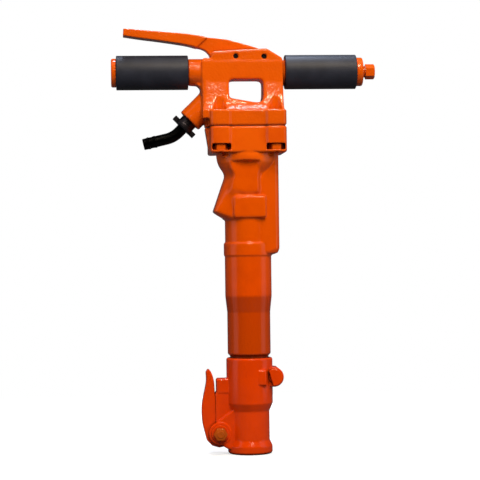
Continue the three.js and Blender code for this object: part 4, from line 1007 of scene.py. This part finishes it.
@dataclass
class Handle:
    """Rubber grips, end cap, end collar and oil plug."""

    finishes: Finishes
    grip_radii: Row = (17.1, 24.0)
    grip_edges: Row = (1.3, 1.3)
    cap_radius: float = 20.0
    cap_core: float = 10.7
    cap_edges: Row = (0.6, 2.6)
    collar_edges: Row = (0.8, 2.6)
    plug_neck: float = 8.0
    plug_flats: float = 18.5
    plug_head: float = 12.8
    plug_turn: float = math.radians(6.6)

    def span(self, node: str) -> Row:
        """Gives the left and right end of a node."""
        return tuple(corner.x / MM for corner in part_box(node))

    def build(self) -> None:
        """Makes every piece on the handle's arms."""
        paint = self.finishes.orange
        for side in ("grip_left", "grip_right"):
            sizes = (self.grip_radii, self.span(side), self.grip_edges)
            sleeve = turned_ring(f"{side}_sleeve", *sizes, HANDLE_AXIS, ACROSS)
            fit(sleeve, Slot.GRIP, self.finishes.grip, side)
        foot = self.span("grip_left")[0] - SEAT_GAP
        low, high = (end - foot for end in self.span("handle_cap"))
        radius, (inner, outer) = self.cap_radius, self.cap_edges
        core = ((0, high, 0), (self.cap_core, high, 0), (self.cap_core, 0, 0))
        disc = ((radius, 0, inner), (radius, low, outer), (0, low, 0))
        cap = turned("handle_end_cap", (*core, *disc), (foot, 0, HANDLE_AXIS[2]), ACROSS)
        fit(cap, Slot.ORANGE, paint, "handle_cap")
        sizes = (self.plug_neck + HOLE_PLAY, radius), self.span("handle_collar"), self.collar_edges
        collar = turned_ring("handle_end_collar", *sizes, HANDLE_AXIS, ACROSS)
        fit(collar, Slot.ORANGE, paint, "handle_collar")
        low, high = self.span("oil_plug")
        length = high - low
        head_foot = length - self.plug_head
        neck = [ring(ON_AXIS, 0), ring(self.plug_neck, 0), ring(self.plug_neck, head_foot)]
        rings = [*neck, *hex_rings(self.plug_flats, head_foot, length), ring(ON_AXIS, length)]
        plug = loft("oil_plug_hex", rings, frame_at((low, 0, HANDLE_AXIS[2]), ACROSS, self.plug_turn))
        fit(plug, Slot.ORANGE, paint, "oil_plug")


@dataclass
class ThrottleLever:
    """Throttle lever with its pivot pin and stop pin, which are rolled spring pins sunk in the ears."""

    finishes: Finishes
    voxel: float = 0.7
    passes: int = 5
    pin_radii: Row = (2.3, 3.4)
    pin_span: Row = (-18.1, 18.1)
    pin_edges: Row = (0.4, 0.4)
    pins: tuple[tuple[str, Point], ...] = (("lever_pin", (24.6, 0, 553.2)), ("stop_pin", (-14.8, 0, 553.7)))

    def build(self) -> None:
        """Makes the lever and its pins."""
        lever = cast_copy("throttle_lever", self.voxel, self.passes)
        fit(lever, Slot.ORANGE, self.finishes.orange, body=Body.LEVER)
        for name, place in self.pins:
            sizes = (self.pin_radii, self.pin_span, self.pin_edges)
            pin = turned_ring(f"{name}_spring_pin", *sizes, place, BACKWARD)
            fit(pin, Slot.BARE, self.finishes.black, name)


@dataclass
class HoseSwivel:
    """Bent hose stem and the wing nut that holds it on the inlet boss."""

    finishes: Finishes
    angle: float = math.radians(225)
    bend: float = math.radians(32)
    bend_radius: float = 37.0
    straight: float = 21.0
    tail: float = 33.0
    straight_steps: int = 8
    bend_steps: int = 18
    tail_rings: tuple[float, ...] = (4.0, 8.0, 12.0)
    inside: float = 10.06
    bore: float = 5.1
    flange_radii: Row = (7.9, 11.4)
    flange_span: Row = (-12.06, -8.06)
    flange_edges: Row = (0.3, 0.3)
    nut_neck: RoundFace = RoundFace.even(INLET_FACE, (-1, 0, -1), 12.0, (-7.5, 7.0), 0.35)
    nut_hub: RoundFace = RoundFace.even(INLET_FACE, (-1, 0, -1), 14.5, (8.4, 13.6), 0.35)
    voxel: float = 0.5
    passes: int = 5
    # Distance from the open end, and radius there: two barbs that hold the hose.
    barbs: tuple[Row, ...] = (
        ((0.0, 7.3), (0.8, 7.9), (4.5, 7.9), (5.2, 8.0), (8.2, 8.6), (9.0, 8.6))
        + ((9.2, 7.9), (13.5, 7.9), (14.2, 8.0), (17.2, 8.6), (18.0, 8.6), (18.2, 7.9))
    )

    def way(self, bent: float = 0.0) -> np.ndarray:
        """Gives the stem's direction once it has bent by some angle."""
        return np.array((math.cos(self.angle - bent), 0, math.sin(self.angle - bent)))

    def path(self) -> np.ndarray:
        """Lays out the stem's middle line.

        Returns:
            Points from inside the nut to the open end.
        """
        first, second, face = self.way(), self.way(self.bend), np.array(INLET_FACE)
        run = self.bend_radius * math.tan(self.bend / 2)
        start, corner = face + first * self.straight, face + first * (self.straight + run)
        end = corner + second * run
        head = [face + first * d for d in np.linspace(-self.inside, self.straight, self.straight_steps)]
        steps = np.linspace(0, 1, self.bend_steps)[1:]
        curve = [(1 - t) ** 2 * start + 2 * t * (1 - t) * corner + t**2 * end for t in steps]
        distances = sorted({self.tail - d for d, _ in self.barbs} | set(self.tail_rings))
        return np.array(head + curve + [end + second * d for d in distances])

    def tube(self) -> list[np.ndarray]:
        """Makes the rings of the stem.

        Returns:
            Rings out along its skin, and back along its bore.
        """
        points = self.path()
        steps = np.linalg.norm(np.diff(points, axis=0), axis=1)
        from_end = np.append(np.cumsum(steps[::-1])[::-1], 0.0)
        tangents = np.gradient(points, axis=0)
        tangents /= np.linalg.norm(tangents, axis=1)[:, None]
        cosine, sine = np.cos(TURN[::2]), np.sin(TURN[::2])
        spokes = [np.outer(cosine, BACKWARD) + np.outer(sine, np.cross(t, BACKWARD)) for t in tangents]
        radii = np.interp(from_end, *np.array(self.barbs).T)
        skin = [point + spoke * radius for point, spoke, radius in zip(points, spokes, radii)]
        return skin + [point + spoke * self.bore for point, spoke in zip(points[::-1], spokes[::-1])]

    def build(self) -> None:
        """Makes the stem and the nut."""
        black = self.finishes.black
        stem = loft("swivel_stem_tube", self.tube(), closed=True)
        fit(stem, Slot.BLACK, black, "swivel_stem", body=Body.STEM)
        sizes = (self.flange_radii, self.flange_span, self.flange_edges)
        flange = turned_ring("swivel_stem_flange", *sizes, INLET_FACE, tuple(self.way()))
        fit(flange, Slot.BLACK, black, body=Body.STEM)
        faces = (self.nut_neck, self.nut_hub)
        nut = cast_copy("swivel_nut", self.voxel, self.passes, faces, name="swivel_wing_nut")
        fit(nut, Slot.ZINC, self.finishes.zinc, body=Body.NUT)
        dress(self.finishes.seal, "swivel_seal")
        dress(self.finishes.bare, "inlet_screen")


# ---- studio


@dataclass(frozen=True)
class Lamp:
    """Soft rectangular lamp.

    Attributes:
        name: Its name.
        place: Where it is, in metres.
        aim: Height on the tool's axis that it points to, in metres.
        size: Its width and height, in metres.
        power: Its power, in watts.
        colour: Colour of its light.
        mirrored: Whether gloss shows it. A scrim lights evenly and leaves no highlight of its own.
    """

    name: str
    place: Point
    aim: float
    size: Row
    power: float
    colour: str = WHITE
    mirrored: bool = True

    def build(self) -> None:
        """Makes the lamp."""
        data = bpy.data.lights.new(self.name, "AREA")
        data.shape = "RECTANGLE"
        data.size, data.size_y = self.size
        data.energy = self.power
        data.color = linear(self.colour)[:3]
        lamp = bpy.data.objects.new(self.name, data)
        lamp.location = self.place
        lamp.visible_glossy = self.mirrored
        lamp.rotation_mode = "QUATERNION"
        lamp.rotation_quaternion = (Vector((0, 0, self.aim)) - Vector(self.place)).to_track_quat("-Z", "Y")
        bpy.context.scene.collection.objects.link(lamp)


@dataclass
class Studio:
    """Pale floor, white surround, soft lamps and the camera at the photograph's place."""

    # Middle of the view on the tool's mid-plane, and the camera's place from it.
    target: Point = (-10.9, 0.0, 298.2)
    distance: float = 2300.0
    azimuth: float = math.radians(-4.0)
    height: float = 288.0
    roll: float = math.radians(-0.73)
    view: float = 672.0
    sensor: float = 36.0
    clip: Row = (0.05, 60.0)
    # Brightness of the surround from behind the camera, 0, to behind the object, 1. The bright part is the
    # ends of the white sweep, which the barrel shows as an upright band near each side.
    surround: tuple[tuple[float, str], ...] = (
        (0.0, "#161617"),
        (0.27, "#1E1E20"),
        (0.31, "#D0D0D4"),
        (0.49, "#D0D0D4"),
        (0.56, "#505052"),
    )
    surround_strength: float = 0.8
    # Half the floor's width, and distances from the tool with how white the floor is there, both in metres.
    floor_half: float = 0.9
    floor_fade: Range = (0.25, 0.8, 0.4, 1.0)
    floor_glow: float = 1.5
    lamps: tuple[Lamp, ...] = (
        Lamp("front_scrim", (-0.1, -2.2, 1.5), 0.35, (1.2, 0.8), 27.0, mirrored=False),
        Lamp("back_scrim", (0.1, 2.2, 1.5), 0.35, (1.2, 0.8), 34.0, mirrored=False),
        Lamp("high_front_strip", (0.1, -1.0, 1.9), 0.4, (0.8, 0.05), 9.0, WARM),
        Lamp("key_softbox", (0.35, -1.3, 1.75), 0.4, (0.22, 0.22), 13.0, WARM),
        Lamp("overhead_softbox", (0.0, 0.25, 1.5), 0.5, (0.45, 0.12), 9.0, COOL),
        Lamp("overhead_spot", (0.07, -0.05, 1.5), 0.5, (0.06, 0.1), 0.8),
        Lamp("low_key_strip", (0.12, -1.35, 1.36), 0.2, (0.14, 0.045), 1.0, WARM),
        Lamp("left_panel", (-1.7, -1.0, 0.9), 0.4, (0.5, 1.0), 4.0, mirrored=False),
        Lamp("right_panel", (1.7, -1.0, 0.9), 0.4, (0.5, 1.0), 8.0, mirrored=False),
    )

    def camera(self) -> None:
        """Makes the camera."""
        data = bpy.data.cameras.new("camera")
        data.sensor_width = self.sensor
        data.lens = self.sensor * self.distance / self.view
        data.clip_start, data.clip_end = self.clip
        camera = bpy.data.objects.new("camera", data)
        bpy.context.scene.collection.objects.link(camera)
        target, reach = Vector(self.target) * MM, self.distance * MM
        x, y = target.x + math.sin(self.azimuth) * reach, target.y - math.cos(self.azimuth) * reach
        camera.location = (x, y, self.height * MM)
        camera.rotation_mode = "QUATERNION"
        look = (target - camera.location).to_track_quat("-Z", "Y")
        camera.rotation_quaternion = look @ Quaternion((0, 0, 1), self.roll)
        bpy.context.scene.camera = camera

    def world(self) -> None:
        """Makes the surround: white to the camera, and a soft grey light that differs from front to back."""
        world = bpy.data.worlds.new("surround")
        bpy.context.scene.world = world
        nodes = Nodes(world, "Generated")
        split = nodes.add("SeparateXYZ", {"Vector": nodes.place})
        room = nodes.ramp(nodes.remap((split, "Y"), -1.0, 1.0, 0.0, 1.0), *self.surround)
        light = nodes.add("Background", {"Color": room, "Strength": self.surround_strength})
        nodes.split(light, nodes.add("Background", {"Color": WHITE}), "OutputWorld")

    def floor(self) -> None:
        """Makes the floor, white to the camera where nothing shades it."""
        half = self.floor_half
        corners = [(-half, -half, 0), (half, -half, 0), (half, half, 0), (-half, half, 0)]
        mesh = bpy.data.meshes.new("floor")
        mesh.from_pydata(corners, [], [(0, 1, 2, 3)])
        floor = new_piece("floor", mesh)
        material = bpy.data.materials.new("matt_white_studio_floor")
        nodes = Nodes(material)
        shaded = nodes.add("BsdfDiffuse", {"Color": "#F4F4F4"})
        white = nodes.add("Emission", {"Color": WHITE, "Strength": self.floor_glow})
        # The floor shows its shading only near the object, and runs out into the white sweep.
        away = nodes.add("VectorMath", {"operation": "LENGTH", 0: nodes.place})
        fade = nodes.remap((away, "Value"), *self.floor_fade)
        seen = nodes.add("MixShader", {0: fade, 1: (shaded, 0), 2: (white, 0)})
        # The light that it throws up is dimmed, as undersides are dark in the photograph.
        nodes.split(nodes.add("BsdfDiffuse", {"Color": "#505050"}), seen, "OutputMaterial")
        floor.data.materials.append(material)

    def build(self) -> None:
        """Makes the whole studio."""
        self.camera()
        self.world()
        self.floor()
        for lamp in self.lamps:
            lamp.build()
        bpy.context.scene.view_settings.view_transform = "Standard"


def main() -> None:
    """Builds every sub-assembly and the studio, in order."""
    logging.basicConfig(level=logging.INFO, format="%(message)s")
    finishes = Finishes()
    makers = (FrontHead, Latch, LockBolt, Cylinder, FlangeBolts, Backhead, Handle, ThrottleLever, HoseSwivel)
    for maker in makers:
        maker(finishes).build()
        log.info("built %s", maker.__name__)
    Studio().build()
    log.info("built the studio")


if __name__ == "__main__":
    main()
